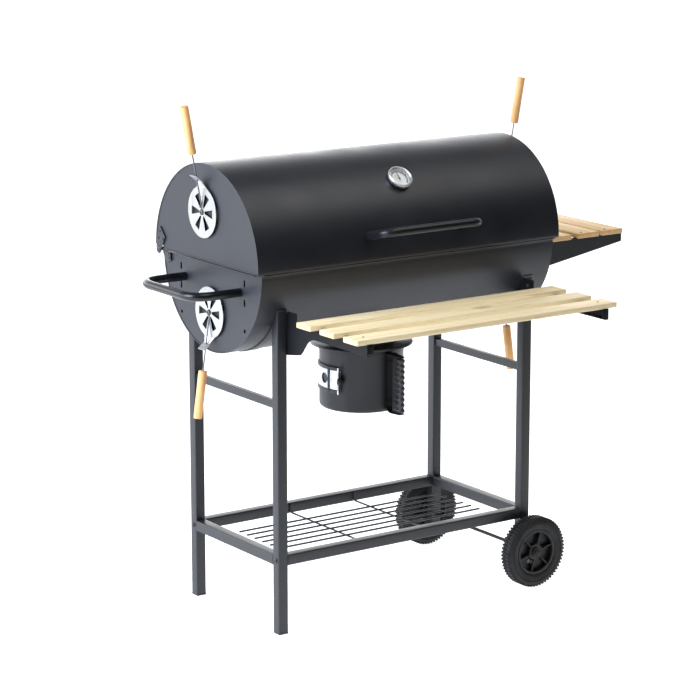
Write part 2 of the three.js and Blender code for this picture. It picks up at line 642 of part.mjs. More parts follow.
function buildFrontShelf() {
  const { top, back, pitch, slatWidth, bracketDepth, tabTop, tabFront } = FRONT_SHELF;
  const { legPlateBottom, legPlateDrop } = FRONT_SHELF;
  const underside = top - SLAT_THICKNESS;
  const bracketTop = underside - GAP;
  const bracketBottom = bracketTop - bracketDepth;
  const plateThickness = 2;
  const flangeWidth = 17;
  const reach = back + 2 * pitch + slatWidth + 1;
  for (let i = 0; i < 3; i += 1) {
    const y = -back - i * pitch;
    add(`front_slat_${i + 1}`, block(-legOuterX, legOuterX, y - slatWidth, y, underside, top), PINE);
  }
  for (const [end, endSign] of ENDS) {
    const [x0, x1] = span(endSign, legInnerX - GAP - plateThickness, legInnerX - GAP);
    const outline = new THREE.Shape();
    outline.moveTo(-legInnerY, legPlateBottom - legPlateDrop);
    outline.lineTo(-legInnerY, tabTop);
    outline.lineTo(-tabFront, tabTop);
    outline.lineTo(-tabFront, bracketTop);
    outline.lineTo(-reach, bracketTop);
    outline.lineTo(-reach, bracketBottom);
    outline.lineTo(-300, bracketBottom);
    outline.quadraticCurveTo(-272, bracketBottom, -256, legPlateBottom + 19);
    outline.quadraticCurveTo(-244, legPlateBottom, -tabFront, legPlateBottom);
    const plate = plateAcrossX(outline, x0, x1);
    const [flangeX0, flangeX1] = span(endSign, legInnerX - GAP - flangeWidth, legInnerX - GAP - 1);
    const flange = block(flangeX0, flangeX1, -reach, -tabFront - 4, bracketTop - plateThickness, bracketTop);
    const clearance = barAlongX(saddleOuter + 1, x0 - 30, x1 + 30, 0, BOWL.centreZ, 96);
    add(`front_shelf_bracket_${end}`, cut(union(plate, flange), clearance), BLACK_STEEL);
  }
}

function buildSideShelf() {
  const { top, end, slatWidth, slatSetbacks, bracketY, innerHeight } = SIDE_SHELF;
  const underside = top - SLAT_THICKNESS;
  const bracketTop = underside - GAP;
  const root = BOWL.halfLength + GAP;
  const slatEnd = bracketY + 6;
  slatSetbacks.forEach((setback, i) => {
    const outer = end - 1 - setback;
    const slat = block(outer - slatWidth, outer, -slatEnd, slatEnd, underside, top);
    add(`side_slat_${i + 1}`, slat, PINE, bowlGroup);
  });
  const outline = shapeOf([
    [root, bracketTop - innerHeight], [end, bracketTop - 20], [end, bracketTop], [root, bracketTop]]);
  for (const [side, sideSign] of SIDES) {
    const [y0, y1] = span(sideSign, bracketY - 2, bracketY);
    const plate = plateAcrossY(outline, y0, y1);
    const [flangeY0, flangeY1] = span(sideSign, bracketY - 25, bracketY - 1);
    const rootFlange = block(root, root + 2, flangeY0, flangeY1, bracketTop - innerHeight, bracketTop);
    const [topY0, topY1] = span(sideSign, bracketY - 16, bracketY - 1);
    const topFlange = block(root + 30, end, topY0, topY1, bracketTop - 2, bracketTop);
    add(`side_shelf_bracket_${side}`, union(plate, rootFlange, topFlange), BLACK_STEEL, bowlGroup);
  }
}

// ---------- grates ----------

// A welded grate: bars along Y over two runners along X.
function grate({ x0, x1, halfY, runnerY, z, barCount, runner, bar }) {
  const weldDepth = 1.5;
  const barZ = z + runner - weldDepth;
  const pieces = [-runnerY, runnerY].map((y) => (
    block(x0, x1, y - runner / 2, y + runner / 2, z, z + runner)));
  for (let i = 0; i < barCount; i += 1) {
    const x = x0 + bar + ((x1 - x0 - 2 * bar) * i) / (barCount - 1);
    pieces.push(block(x - bar / 2, x + bar / 2, -halfY, halfY, barZ, barZ + bar));
  }
  return union(...pieces);
}

function buildGrates() {
  const cookingZ = BOWL.ledgeZ + SHEET + GAP;
  for (const [end, sign] of ENDS) {
    const [x0, x1] = span(sign, 3, 400);
    const grid = grate({ x0, x1, halfY: 200, runnerY: 196, z: cookingZ, barCount: 14, runner: 6, bar: 4 });
    add(`cooking_grate_${end}`, grid, GRATE_STEEL, bowlGroup);
  }
  const charcoalGrid = grate({
    x0: -380, x1: 380, halfY: 166, runnerY: 150, z: 726, barCount: 14, runner: 6, bar: 6,
  });
  add('charcoal_grate', charcoalGrid, CHARCOAL_GRATE_STEEL, bowlGroup);
}

// ---------- ash pot ----------

function buildPotCollar() {
  const { top, flangeRadius, neckRadius, radius } = POT;
  const neckTop = BOWL.centreZ - BOWL.radius - GAP;
  const skirt = radius - 4;
  const plate = top + GAP;
  const skirtBottom = plate - 12;
  const profile = [
    [ASH_OUTLET_RADIUS, plate], [skirt - 2, plate], [skirt - 2, skirtBottom], [skirt, skirtBottom],
    [skirt, plate], [flangeRadius - 5, plate], [flangeRadius - 2, plate - 5], [flangeRadius, plate - 4],
    [flangeRadius - 3, plate + 2], [neckRadius, plate + 2], [neckRadius, neckTop + 10],
    [ASH_OUTLET_RADIUS, neckTop + 10], [ASH_OUTLET_RADIUS, plate],
  ];
  const body = lathe(profile, 24).rotateX(Math.PI / 2);
  const bowlSpace = barAlongX(BOWL.radius + GAP + 0.3, -120, 120, 0, BOWL.centreZ, 64);
  add('pot_collar', cut(body, bowlSpace), BLACK_STEEL);
}

// Part of a ring round the pot's axis, between two angles and two heights.
function ringPart(inner, outer, from, to, low, high, steps = 8) {
  const outline = [...arc(inner, from, to, steps), ...arc(outer, to, from, steps)];
  const geometry = new THREE.ExtrudeGeometry(shapeOf(outline), { depth: high - low, bevelEnabled: false });
  return geometry.translate(0, 0, low);
}

// A tool for a round hole through the pot's wall or its damper.
function radialHole(radius, angle, z) {
  const tool = barAlongX(radius, POT.radius - 30, POT.radius + 30, 0, 0, 16);
  return tool.rotateZ(THREE.MathUtils.degToRad(angle)).translate(0, 0, z);
}

function buildPot() {
  const { radius, top, bottom } = POT;
  const inner = radius - SHEET;
  const corner = 8;
  const wall = lathe([
    [0, bottom], [radius - corner, bottom], [radius - 2, bottom + 3], [radius, bottom + corner],
    [radius, top], [inner, top], [inner, bottom + corner], [inner - corner, bottom + SHEET],
    [0, bottom + SHEET],
  ], 32).rotateX(Math.PI / 2);
  const { low, high, from, to, hole, holeAngle, holeZ, travel } = DAMPER;
  const railDepth = 8;
  const rails = [[low - railDepth, low - 0.5], [high + 0.5, high + railDepth]].map(([z0, z1]) => (
    ringPart(radius - 1, radius + 4, from - 8, to - 1, z0, z1)));
  const strapInner = radius + 1 + SHEET + 0.5;
  const strap = ringPart(strapInner, strapInner + DAMPER_STRAP.thickness, DAMPER_STRAP.from, DAMPER_STRAP.to,
    low - railDepth, high + railDepth, 1);
  const pot = cut(union(wall, ...rails, strap), radialHole(hole, holeAngle - travel, holeZ));
  add('ash_pot', pot, BLACK_STEEL, potGroup);
}

// The sliding air damper: a curved plate with one round hole and a T-shaped finger end with a small
// knob. It is shut as built, and its hole comes over the pot's when it is slid back by its travel.
function buildDamper() {
  const { low, high, from, to, hole, holeAngle, holeZ } = DAMPER;
  const face = POT.radius + 1;
  const plate = ringPart(face, face + SHEET, from, to + 1.5, low, high, 12);
  const finger = ringPart(face, face + 12, to, to + 2, low, high, 2);
  const cross = ringPart(face + 5, face + 12, to, to + 2, low - 8, high + 10, 2);
  const knobRadius = 9;
  const knob = barAlongY(knobRadius, 1.5, 11, face + knobRadius, (low + high) / 2, 16)
    .rotateZ(THREE.MathUtils.degToRad(to));
  const damper = cut(union(plate, finger, cross, knob), radialHole(hole, holeAngle, holeZ));
  add('pot_damper', damper, CHROME, potGroup);
}

// Strap handle: a back plate on the pot wall and two arms that hold the grip between them.
function buildPotHandle() {
  const { angle, reach, width, top, bottom, drop } = POT_HANDLE;
  const root = POT.radius + GAP;
  const thickness = 2.5;
  const holder = new THREE.Group();
  holder.rotation.z = THREE.MathUtils.degToRad(angle);
  potGroup.add(holder);
  const backPlate = block(root + 0.4, root + 0.4 + thickness, -width / 2, width / 2, bottom, top);
  const upperArm = plateAcrossY(shapeOf([
    [root + 0.4, top - thickness], [reach, top - thickness - 4], [reach, top - 4], [root + 0.4, top]]),
  -width / 2, width / 2);
  const flatStart = reach - POT_GRIP.depth - 2;
  const lowerArm = plateAcrossY(shapeOf([
    [root + 0.4, bottom], [flatStart, bottom - drop], [reach, bottom - drop],
    [reach, bottom - drop + thickness], [flatStart, bottom - drop + thickness],
    [root + 0.4, bottom + thickness + 1]]), -width / 2, width / 2);
  const clearance = barAlongZ(root, bottom - 30, top + 10, 0, 0, 96);
  add('pot_handle', cut(union(backPlate, upperArm, lowerArm), clearance), BLACK_STEEL, holder);
  const gripBottom = bottom - drop + thickness + GAP;
  const gripTop = top - thickness - 4 - GAP;
  add('pot_grip', buildPotGrip(gripTop - gripBottom).translate(reach, 0, gripBottom), BLACK_PLASTIC, holder);
}

// The grip is a deep, narrow moulding with bevelled corners, standing on z = 0 behind x = 0.
function buildPotGrip(height) {
  const { depth, width, corner } = POT_GRIP;
  const half = width / 2;
  const outline = shapeOf([
    [-depth + corner, -half], [-corner, -half], [0, -half + corner], [0, half - corner],
    [-corner, half], [-depth + corner, half], [-depth, half - corner], [-depth, -half + corner],
  ]);
  return extruded(outline, height);
}

// ---------- assembly ----------

buildTrolley();
buildWireShelf();
buildWheels();
buildBowl();
buildLid();
buildHinges();
buildVents();
buildPushHandle();
buildLidHandle();
buildThermometer();
buildFrontShelf();
buildSideShelf();
buildGrates();
buildPotCollar();
buildPot();
buildDamper();
buildPotHandle();

// The origin is under the middle of the outer box, at ground level.
const bounds = new THREE.Box3().setFromObject(model, true);
const middle = bounds.getCenter(new THREE.Vector3());
model.position.set(-middle.x, -middle.y, 0);

const group = new THREE.Group();
group.add(model);

export default group;
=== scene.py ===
"""Barrel charcoal grill on a trolley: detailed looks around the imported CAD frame.

Shapes are worked out in millimetres in the drawing's own axes, whose origin is on the ground under the
middle of the trolley, and are then moved to the row frame in metres by piece().
"""

import math

import bmesh
import bpy
from mathutils import Matrix, Vector


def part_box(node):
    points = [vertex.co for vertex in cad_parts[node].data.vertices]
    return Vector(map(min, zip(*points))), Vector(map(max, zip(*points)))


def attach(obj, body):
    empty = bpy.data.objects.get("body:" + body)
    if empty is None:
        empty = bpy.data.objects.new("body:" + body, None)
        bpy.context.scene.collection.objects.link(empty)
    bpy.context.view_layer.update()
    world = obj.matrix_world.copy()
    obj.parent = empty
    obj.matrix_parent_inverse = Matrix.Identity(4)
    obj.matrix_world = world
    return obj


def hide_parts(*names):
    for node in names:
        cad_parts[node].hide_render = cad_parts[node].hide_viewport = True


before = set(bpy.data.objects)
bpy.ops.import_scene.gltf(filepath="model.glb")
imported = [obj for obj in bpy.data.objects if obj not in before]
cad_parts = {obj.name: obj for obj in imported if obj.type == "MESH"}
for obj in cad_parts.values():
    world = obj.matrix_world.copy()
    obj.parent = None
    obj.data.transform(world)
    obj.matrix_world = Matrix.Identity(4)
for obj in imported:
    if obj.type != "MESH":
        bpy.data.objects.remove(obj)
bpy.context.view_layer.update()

# ---------- dimensions repeated from the CAD source, in millimetres ----------

SHEET = 1.5                  # barrel, pot and vent sheet
GAP = 0.3                    # air between CAD parts that touch in reality

TUBE = 25
TUBE_WALL = 1.5
SADDLE_THICKNESS = 2
BRACE_SCREW_Z = 700
SHELF_LONG_WIRES = (-82, -49, -16.5, 16.5, 49, 82)
SHELF_CROSS_WIRES = (-93, 93)
SHELF_WIRE_RADIUS = 2.25
SHELF_HOOK = 19              # how far the cross wires' ends turn up

WHEEL_X = 346
WHEEL_RADIUS = 85.5
WHEEL_WIDTH = 36
WHEEL_RIM = 55
WHEEL_INNER = {"front": 203, "rear": 190.5}
SPOKES = 6
HUB_TURN = 15                # degrees that the ribs are turned
HUB_HOLE_TURN = 60           # and the web's two holes

BOWL_X = -3                  # the bowl and all that is fixed to it sit this far towards the push handle
BOWL_Z = 835
BOWL_RADIUS = 206
BOWL_HALF = 407
BOWL_RIM = 838
BOWL_LIP = 9
LEDGE_Z = 820
LEDGE_WIDTH = 14
OUTLET_RADIUS = 70

LID_X = -6
LID_Z = 843.6
LID_RADIUS = 216
LID_HALF = 419.7
LID_BOTTOM = 839
LID_REAR_BOTTOM = 848
NOTCH_Y = 184                # the lid's end plates are cut up behind here to clear the hinge
END_PLATE_STEP = 1.2         # the end plates lie this far inside the ends of their shells

HINGE_Y = 200
HINGE_Z = 837
HINGE_EYE = 10
HINGE_PIN = 3.9
ARM_THICKNESS = 2
HINGE_BRACKET_THICKNESS = 3

HANDLE_SLOT_Y = 133          # slots and holes in the bowl's end plates
HANDLE_SLOTS_Z = (763, 807)
END_HOLE_Z = 700

VENT_RADIUS = 58.5
VENT_OFFSET = 5
VENT_UPPER_Z = 950
VENT_LOWER_Z = 720
VENT_STAND_OFF = 3.5
VENTS_SHUT = 30              # at rest the end plates' slots lie this many degrees from the discs' slots
SLOTS = 6
SLOT_INNER = 11
SLOT_OUTER = 44
SLOT_HALF_ANGLE = 13
TAB_ROOT, TAB_BEND, TAB_TIP = (0, 56), (-7, 71), (-22, 83.5)
TAB_ROOT_HALF, TAB_NECK_HALF, TAB_HALF = 20, 9, 15
STEM_START = 12
STEM_RADIUS = 1.6
GRIP_START = 132
GRIP_LENGTH = 110
GRIP_RADIUS = 9.8
UPPER_LEAN = 10.5
LOWER_LEAN = 8

PUSH_Z = 785
PUSH_HALF_SPAN = 115
PUSH_REACH = 526
PUSH_RADIUS = 10
PUSH_CORNER = 50
LID_HANDLE_X = 9
LID_HANDLE_ANGLE = 14
LID_HANDLE_HALF = 131
LID_HANDLE_REACH = 78
LID_HANDLE_RADIUS = 9.8
LID_HANDLE_CORNER = 32

THERMOMETER_X = 5.7
THERMOMETER_ANGLE = 47.5
THERMOMETER_RADIUS = 29.5
THERMOMETER_DEPTH = 13
PROBE_LENGTH = 45

FRONT_SHELF_TOP = 737
SLAT_THICKNESS = 12
TAB_TOP = 746                # the front bracket's tab on the leg
TAB_BOTTOM = 643
TAB_Y = -226

POT_RADIUS = 99
POT_TOP = 605
POT_BOTTOM = 451
DAMPER_LOW = 504
DAMPER_HIGH = 550
DAMPER_FROM = 146
DAMPER_TO = 205
DAMPER_HOLE = 12.5
DAMPER_HOLE_Z = 527
DAMPER_HOLE_ANGLE = 177
DAMPER_TRAVEL = 15
# a thin dark strip across the damper's path runs between these angles
DARK_STRIP_FROM = 185.3
DARK_STRIP_TO = 187.7
POT_HANDLE_ANGLE = -84
POT_HANDLE_REACH = 147
POT_HANDLE_WIDTH = 24
POT_HANDLE_TOP = 592
POT_HANDLE_BOTTOM = 458
POT_HANDLE_DROP = 7
POT_STRAP_THICKNESS = 2.5
POT_GRIP_DEPTH = 33
POT_GRIP_WIDTH = 14

MM = 0.001
X_AXIS, Y_AXIS, Z_AXIS = Vector((1, 0, 0)), Vector((0, 1, 0)), Vector((0, 0, 1))


def middle_of(node):
    low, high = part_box(node)
    return (low + high) / 2


# the drawing's origin in the row frame
ORIGIN = Vector((middle_of("long_rail_front").x, middle_of("saddle_left").y, 0))


def box_mm(node):
    """A CAD node's box in the drawing's axes: x0, x1, y0, y1, z0, z1."""
    low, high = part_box(node)
    low, high = (low - ORIGIN) / MM, (high - ORIGIN) / MM
    return low.x, high.x, low.y, high.y, low.z, high.z


def row_point(point, shift=0):
    """A drawing point in the row frame. Shift moves it along the barrel first."""
    return (Vector(point) + X_AXIS * shift) * MM + ORIGIN


def radians(degrees):
    return degrees * math.pi / 180


def polar(radius, degrees, u=0.0, v=0.0):
    return (u + radius * math.cos(radians(degrees)), v + radius * math.sin(radians(degrees)))


def arc(radius, start, end, steps, u=0.0, v=0.0):
    return [polar(radius, start + (end - start) * i / steps, u, v) for i in range(steps + 1)]


def circle(radius, steps, u=0.0, v=0.0):
    return [polar(radius, 360 * i / steps, u, v) for i in range(steps)]


def basis(u, v, w, origin=(0, 0, 0)):
    """A matrix that sends local X, Y, Z to u, v, w and moves the local origin."""
    rows = [[u[i], v[i], w[i], origin[i]] for i in range(3)]
    return Matrix(rows + [[0, 0, 0, 1]])


def across_x(x):
    """Local (u, v) lies in the drawing's (y, z) plane at the given x."""
    return basis(Y_AXIS, Z_AXIS, X_AXIS, (x, 0, 0))


def across_y(y):
    """Local (u, v) lies in the drawing's (x, z) plane at the given y."""
    return basis(X_AXIS, Z_AXIS, -Y_AXIS, (0, y, 0))


def on_lid(angle, x=0):
    """Local Z points outwards from the lid at an angle above the front, local X along the barrel."""
    out = Vector((0, -math.cos(radians(angle)), math.sin(radians(angle))))
    return basis(X_AXIS, out.cross(X_AXIS), out, (x, 0, LID_Z))


# ---------- shapes: a shape is a list of points and a list of faces ----------


def merge(*shapes):
    points, faces = [], []
    for some_points, some_faces in shapes:
        first = len(points)
        points += some_points
        faces += [tuple(first + i for i in face) for face in some_faces]
    return points, faces


def moved(shape, matrix):
    return [matrix @ Vector(p) for p in shape[0]], shape[1]


def turned(shape, degrees):
    """Turns a shape about local Z."""
    return moved(shape, Matrix.Rotation(radians(degrees), 4, "Z"))


def rings_to_shape(rings, closed=False):
    """Joins rings of equal length, one after another, and caps the ends of an open row."""
    count = len(rings[0])
    points = [Vector(p) for ring in rings for p in ring]
    faces = []
    pairs = list(zip(range(len(rings)), range(1, len(rings))))
    if closed:
        pairs.append((len(rings) - 1, 0))
    for a, b in pairs:
        for i in range(count):
            j = (i + 1) % count
            faces.append((a * count + i, a * count + j, b * count + j, b * count + i))
    if not closed:
        faces.append(tuple(reversed(range(count))))
        faces.append(tuple((len(rings) - 1) * count + i for i in range(count)))
    return points, faces


def lathe(profile, steps=48):
    """Turns (radius, height) points about local Z. A ring profile repeats its first point at its end."""
    points, loops, faces = [], [], []
    ring = profile[0] == profile[-1]
    for radius, height in profile[:-1] if ring else profile:
        first = len(points)
        if radius < 1e-6:
            points.append(Vector((0, 0, height)))
            loops.append([first] * steps)
        else:
            points += [Vector((*polar(radius, 360 * i / steps), height)) for i in range(steps)]
            loops.append(list(range(first, first + steps)))
    if ring:
        loops.append(loops[0])
    for low, high in zip(loops, loops[1:]):
        for i in range(steps):
            j = (i + 1) % steps
            face = []
            for corner in (low[i], low[j], high[j], high[i]):
                if corner not in face:
                    face.append(corner)
            if len(face) > 2:
                faces.append(tuple(face))
    return points, faces


def rounded(points, radius, steps=4, closed=True):
    """Replaces each corner of an outline or a path with an arc-like curve."""
    points = [Vector(p) for p in points]
    count = len(points)
    result = []
    for i, corner in enumerate(points):
        if not closed and i in (0, count - 1):
            result.append(corner)
            continue
        before, after = points[i - 1] - corner, points[(i + 1) % count] - corner
        reach = min(radius, before.length * 0.49, after.length * 0.49)
        start, end = corner + before.normalized() * reach, corner + after.normalized() * reach
        for k in range(steps + 1):
            t = k / steps
            result.append(start * (1 - t) ** 2 + corner * 2 * t * (1 - t) + end * t * t)
    return result


def sweep(path, section):
    """Carries a section of (u, v) points along an open path."""
    path = [Vector(p) for p in path]
    tangents = [(after - before).normalized()
                for before, after in zip([path[0], *path], [*path[1:], path[-1]])]
    normal = tangents[0].orthogonal().normalized()
    rings = []
    for i, tangent in enumerate(tangents):
        normal = (normal - tangent * normal.dot(tangent)).normalized()
        side = tangent.cross(normal)
        rings.append([path[i] + normal * u + side * v for u, v in section])
    return rings_to_shape(rings)


def rod(start, end, radius, steps=12, round_off=0.0):
    """A straight round bar, with its end edges rounded off if asked."""
    start, end = Vector(start), Vector(end)
    along = (end - start).normalized()
    normal = along.orthogonal().normalized()
    side = along.cross(normal)
    length = (end - start).length
    stations = [(0, radius), (length, radius)]
    if round_off:
        stations = [(0, radius - round_off), (round_off * 0.3, radius - round_off * 0.3), (round_off, radius),
                    (length - round_off, radius), (length - round_off * 0.3, radius - round_off * 0.3),
                    (length, radius - round_off)]
    rings = []
    for distance, size in stations:
        centre = start + along * distance
        rings.append([centre + normal * u + side * v for u, v in circle(size, steps)])
    return rings_to_shape(rings)


def block(x0, x1, y0, y1, z0, z1, edge=0.6, steps=2):
    """A box with rounded edges."""
    mesh = bmesh.new()
    bmesh.ops.create_cube(mesh, size=1)
    middle = Vector((x0 + x1, y0 + y1, z0 + z1)) / 2
    size = Vector((x1 - x0, y1 - y0, z1 - z0))
    for vertex in mesh.verts:
        vertex.co = middle + vertex.co * size
    if edge:
        bmesh.ops.bevel(mesh, geom=mesh.edges[:], offset=edge, segments=steps, profile=0.5, affect="EDGES")
    mesh.verts.index_update()
    shape = [v.co.copy() for v in mesh.verts], [tuple(v.index for v in f.verts) for f in mesh.faces]
    mesh.free()
    return shape


def plate(loops, thickness, place, edge=0.3):
    """A flat plate with a rounded edge. loops holds its outline and then its holes, in local (u, v)."""
    curve = bpy.data.curves.new("plate", "CURVE")
    curve.dimensions = "2D"
    curve.fill_mode = "BOTH"
    curve.extrude = thickness / 2 - edge
    curve.bevel_depth = edge
    curve.bevel_resolution = 0
    curve.offset = -edge
    for loop in loops:
        spline = curve.splines.new("POLY")
        spline.points.add(len(loop) - 1)
        for point, at in zip(spline.points, loop):
            point.co = (at[0], at[1], 0, 1)
        spline.use_cyclic_u = True
    holder = bpy.data.objects.new("plate", curve)
    mesh = bpy.data.meshes.new_from_object(holder)
    shape = [place @ v.co for v in mesh.vertices], [tuple(p.vertices) for p in mesh.polygons]
    bpy.data.objects.remove(holder)
    bpy.data.curves.remove(curve)
    bpy.data.meshes.remove(mesh)
    return shape


def square_tube(axis, low, high, cross_u, cross_v, size_u=TUBE, size_v=TUBE, corner=3.0, trim=None):
    """Open square tube along axis 0, 1 or 2, centred on the other two axes at cross_u and cross_v.

    trim(u, v) gives the upper end's place where it isn't cut square."""
    def outline(inset, radius):
        half_u, half_v = size_u / 2 - inset, size_v / 2 - inset
        corners = [(-half_u, -half_v, 0), (half_u, -half_v, 0), (half_u, half_v, 0), (-half_u, half_v, 0)]
        return [(p.x, p.y) for p in rounded(corners, radius, 4)]

    def ring(points, along):
        placed = []
        for u, v in points:
            u, v = u + cross_u, v + cross_v
            at = trim(u, v) if along is None else along
            placed.append({0: (at, u, v), 1: (u, at, v), 2: (u, v, at)}[axis])
        return placed

    outer, inner = outline(0, corner), outline(TUBE_WALL, corner - TUBE_WALL)
    top = None if trim else high
    rings = [ring(outer, low), ring(outer, top), ring(inner, top), ring(inner, low)]
    return rings_to_shape(rings, closed=True)


def dome_head(at, out, radius, height):
    """A domed screw or rivet head whose flat side lies at a point and which stands out along a direction."""
    out = Vector(out).normalized()
    side = out.orthogonal().normalized()
    place = basis(side, out.cross(side), out, at)
    profile = [(0, -0.2), (radius, -0.2), (radius, height * 0.25), (radius * 0.86, height * 0.66),
               (radius * 0.55, height * 0.93), (radius * 0.28, height), (radius * 0.24, height * 0.55),
               (0, height * 0.5)]
    return moved(lathe(profile, 20), place)


# ---------- pieces ----------

SHARP_ANGLE = 32             # an edge that turns by more degrees than this stays hard


def tidy_mesh(mesh, sharp_angle):
    work = bmesh.new()
    work.from_mesh(mesh)
    bmesh.ops.remove_doubles(work, verts=work.verts[:], dist=2e-6)
    bmesh.ops.dissolve_degenerate(work, edges=work.edges[:], dist=1e-7)
    bmesh.ops.recalc_face_normals(work, faces=work.faces[:])
    work.to_mesh(mesh)
    work.free()
    mesh.shade_smooth()
    mesh.set_sharp_from_angle(angle=radians(sharp_angle))


def new_object(name, shape, sharp_angle=SHARP_ANGLE, shift=0):
    points, faces = shape
    mesh = bpy.data.meshes.new(name)
    mesh.from_pydata([row_point(p, shift) for p in points], [], [list(f) for f in faces])
    tidy_mesh(mesh, sharp_angle)
    thing = bpy.data.objects.new(name, mesh)
    bpy.context.scene.collection.objects.link(thing)
    return thing


def piece(name, shape, material, body, replaces=(), sharp_angle=SHARP_ANGLE, shift=0):
    """Makes one object of a shape and rides it on a CAD body."""
    thing = new_object(name, shape, sharp_angle, shift)
    thing.data.materials.append(material)
    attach(thing, body)
    if replaces:
        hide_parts(*replaces)
    return thing


def cut_away(thing, tool_shape):
    """Cuts a shape out of a piece for good."""
    tool = new_object("tool", tool_shape)
    modifier = thing.modifiers.new("cut", "BOOLEAN")
    modifier.operation = "DIFFERENCE"
    modifier.solver = "EXACT"
    modifier.object = tool
    bpy.context.view_layer.update()
    graph = bpy.context.evaluated_depsgraph_get()
    result = bpy.data.meshes.new_from_object(thing.evaluated_get(graph), depsgraph=graph)
    thing.modifiers.clear()
    old = thing.data
    thing.data = result
    bpy.data.meshes.remove(old)
    bpy.data.objects.remove(tool)
    tidy_mesh(thing.data, SHARP_ANGLE)


# ---------- materials ----------


class Tree:
    """A node tree with short ways to add and join nodes."""

    def __init__(self, tree):
        self.tree = tree

    def add(self, kind, **settings):
        node = self.tree.nodes.new(kind)
        for key, value in settings.items():
            setattr(node, key, value)
        return node

    def join(self, source, target):
        self.tree.links.new(source, target)

    def span(self, value, low, high, from_low=0.3, from_high=0.7):
        """Maps from_low..from_high to low..high and holds the result at both ends."""
        node = self.add("ShaderNodeMapRange")
        node.inputs["From Min"].default_value = from_low
        node.inputs["From Max"].default_value = from_high
        node.inputs["To Min"].default_value = low
        node.inputs["To Max"].default_value = high
        self.join(value, node.inputs["Value"])
        return node.outputs["Result"]

    def axes(self, vector):
        """The x, y and z parts of a vector."""
        node = self.add("ShaderNodeSeparateXYZ")
        self.join(vector, node.inputs["Vector"])
        return node.outputs

    def lit_or_seen(self, value):
        """The value for light and reflections, and 1 for what is looked at directly."""
        path = self.add("ShaderNodeLightPath")
        larger = self.add("ShaderNodeMath", operation="MAXIMUM")
        self.join(path.outputs["Is Camera Ray"], larger.inputs[0])
        self.join(value, larger.inputs[1])
        return larger.outputs["Value"]


class Nodes(Tree):
    """A material's nodes."""

    def __init__(self, name):
        self.material = bpy.data.materials.new(name)
        self.material.use_nodes = True
        super().__init__(self.material.node_tree)
        self.shader = self.tree.nodes["Principled BSDF"]
        coordinates = self.add("ShaderNodeTexCoord")
        self.place = coordinates.outputs["Object"]
        self.facing = coordinates.outputs["Normal"]

    def noise(self, scale, detail=3.0, roughness=0.5, distortion=0.0, place=None):
        node = self.add("ShaderNodeTexNoise")
        node.inputs["Scale"].default_value = scale
        node.inputs["Detail"].default_value = detail
        node.inputs["Roughness"].default_value = roughness
        node.inputs["Distortion"].default_value = distortion
        self.join(place or self.place, node.inputs["Vector"])
        return node.outputs["Fac"]

    def stretched(self, axis, across, along, shift=(0, 0, 0)):
        """Coordinates for marks that run along one axis: scale across it and scale along it."""
        scales = [across] * 3
        scales[axis] = along
        node = self.add("ShaderNodeMapping")
        node.inputs["Scale"].default_value = scales
        node.inputs["Location"].default_value = shift
        self.join(self.place, node.inputs["Vector"])
        return node.outputs["Vector"]

    def ramp(self, value, *stops):
        node = self.add("ShaderNodeValToRGB")
        elements = node.color_ramp.elements
        while len(elements) < len(stops):
            elements.new(0.5)
        for element, (position, colour) in zip(elements, stops):
            element.position = position
            element.color = (*colour, 1)
        self.join(value, node.inputs["Fac"])
        return node.outputs["Color"]

    def mix(self, factor, first, second, blend_type="MIX"):
        """Mixes two colours. Each argument is a socket or a plain value."""
        node = self.add("ShaderNodeMix", data_type="RGBA", blend_type=blend_type)
        for value, socket in ((factor, node.inputs[0]), (first, node.inputs[6]), (second, node.inputs[7])):
            if isinstance(value, bpy.types.NodeSocket):
                self.join(value, socket)
            elif isinstance(value, tuple):
                socket.default_value = (*value, 1)
            else:
                socket.default_value = value
        return node.outputs[2]

    def bump(self, height, strength, distance, before=None):
        node = self.add("ShaderNodeBump")
        node.inputs["Strength"].default_value = strength
        node.inputs["Distance"].default_value = distance
        self.join(height, node.inputs["Height"])
        if before is not None:
            self.join(before, node.inputs["Normal"])
        return node.outputs["Normal"]


def shade(colour, factor):
    return tuple(factor * c for c in colour)


def painted_steel(name, colour, light, roughness, orange_peel=0.12, dust=0.25, gloss=0.5):
    """Satin heat-resistant paint: faint orange peel, cloudy gloss, fine pale dust."""
    n = Nodes(name)
    cloud = n.noise(9, 4, 0.55)
    speck = n.noise(900, 2, 0.6)
    base = n.mix(n.span(cloud, 0, 1), colour, light)
    base = n.mix(n.span(speck, 0, dust, 0.55, 0.85), base, shade(light, 2.4))
    n.join(base, n.shader.inputs["Base Color"])
    n.join(n.span(cloud, roughness - 0.04, roughness + 0.05), n.shader.inputs["Roughness"])
    n.shader.inputs["Specular IOR Level"].default_value = gloss
    fine = n.bump(n.noise(2600, 1, 0.5), orange_peel, 0.00004)
    n.join(n.bump(n.noise(420, 2, 0.5), orange_peel, 0.00012, fine), n.shader.inputs["Normal"])
    return n.material


def plated_steel(name, colour, roughness, streak_axis=2):
    """Bright plating over rolled sheet: faint streaks, cloudy gloss."""
    n = Nodes(name)
    streak = n.noise(1.0, 3, 0.6, place=n.stretched(streak_axis, 320.0, 14.0))
    cloud = n.noise(26, 3, 0.5)
    n.join(n.mix(n.span(cloud, 0, 1), colour, shade(colour, 0.84)), n.shader.inputs["Base Color"])
    n.join(n.span(streak, roughness * 0.75, roughness * 1.35), n.shader.inputs["Roughness"])
    n.shader.inputs["Metallic"].default_value = 1.0
    n.join(n.bump(streak, 0.12, 0.00008), n.shader.inputs["Normal"])
    return n.material


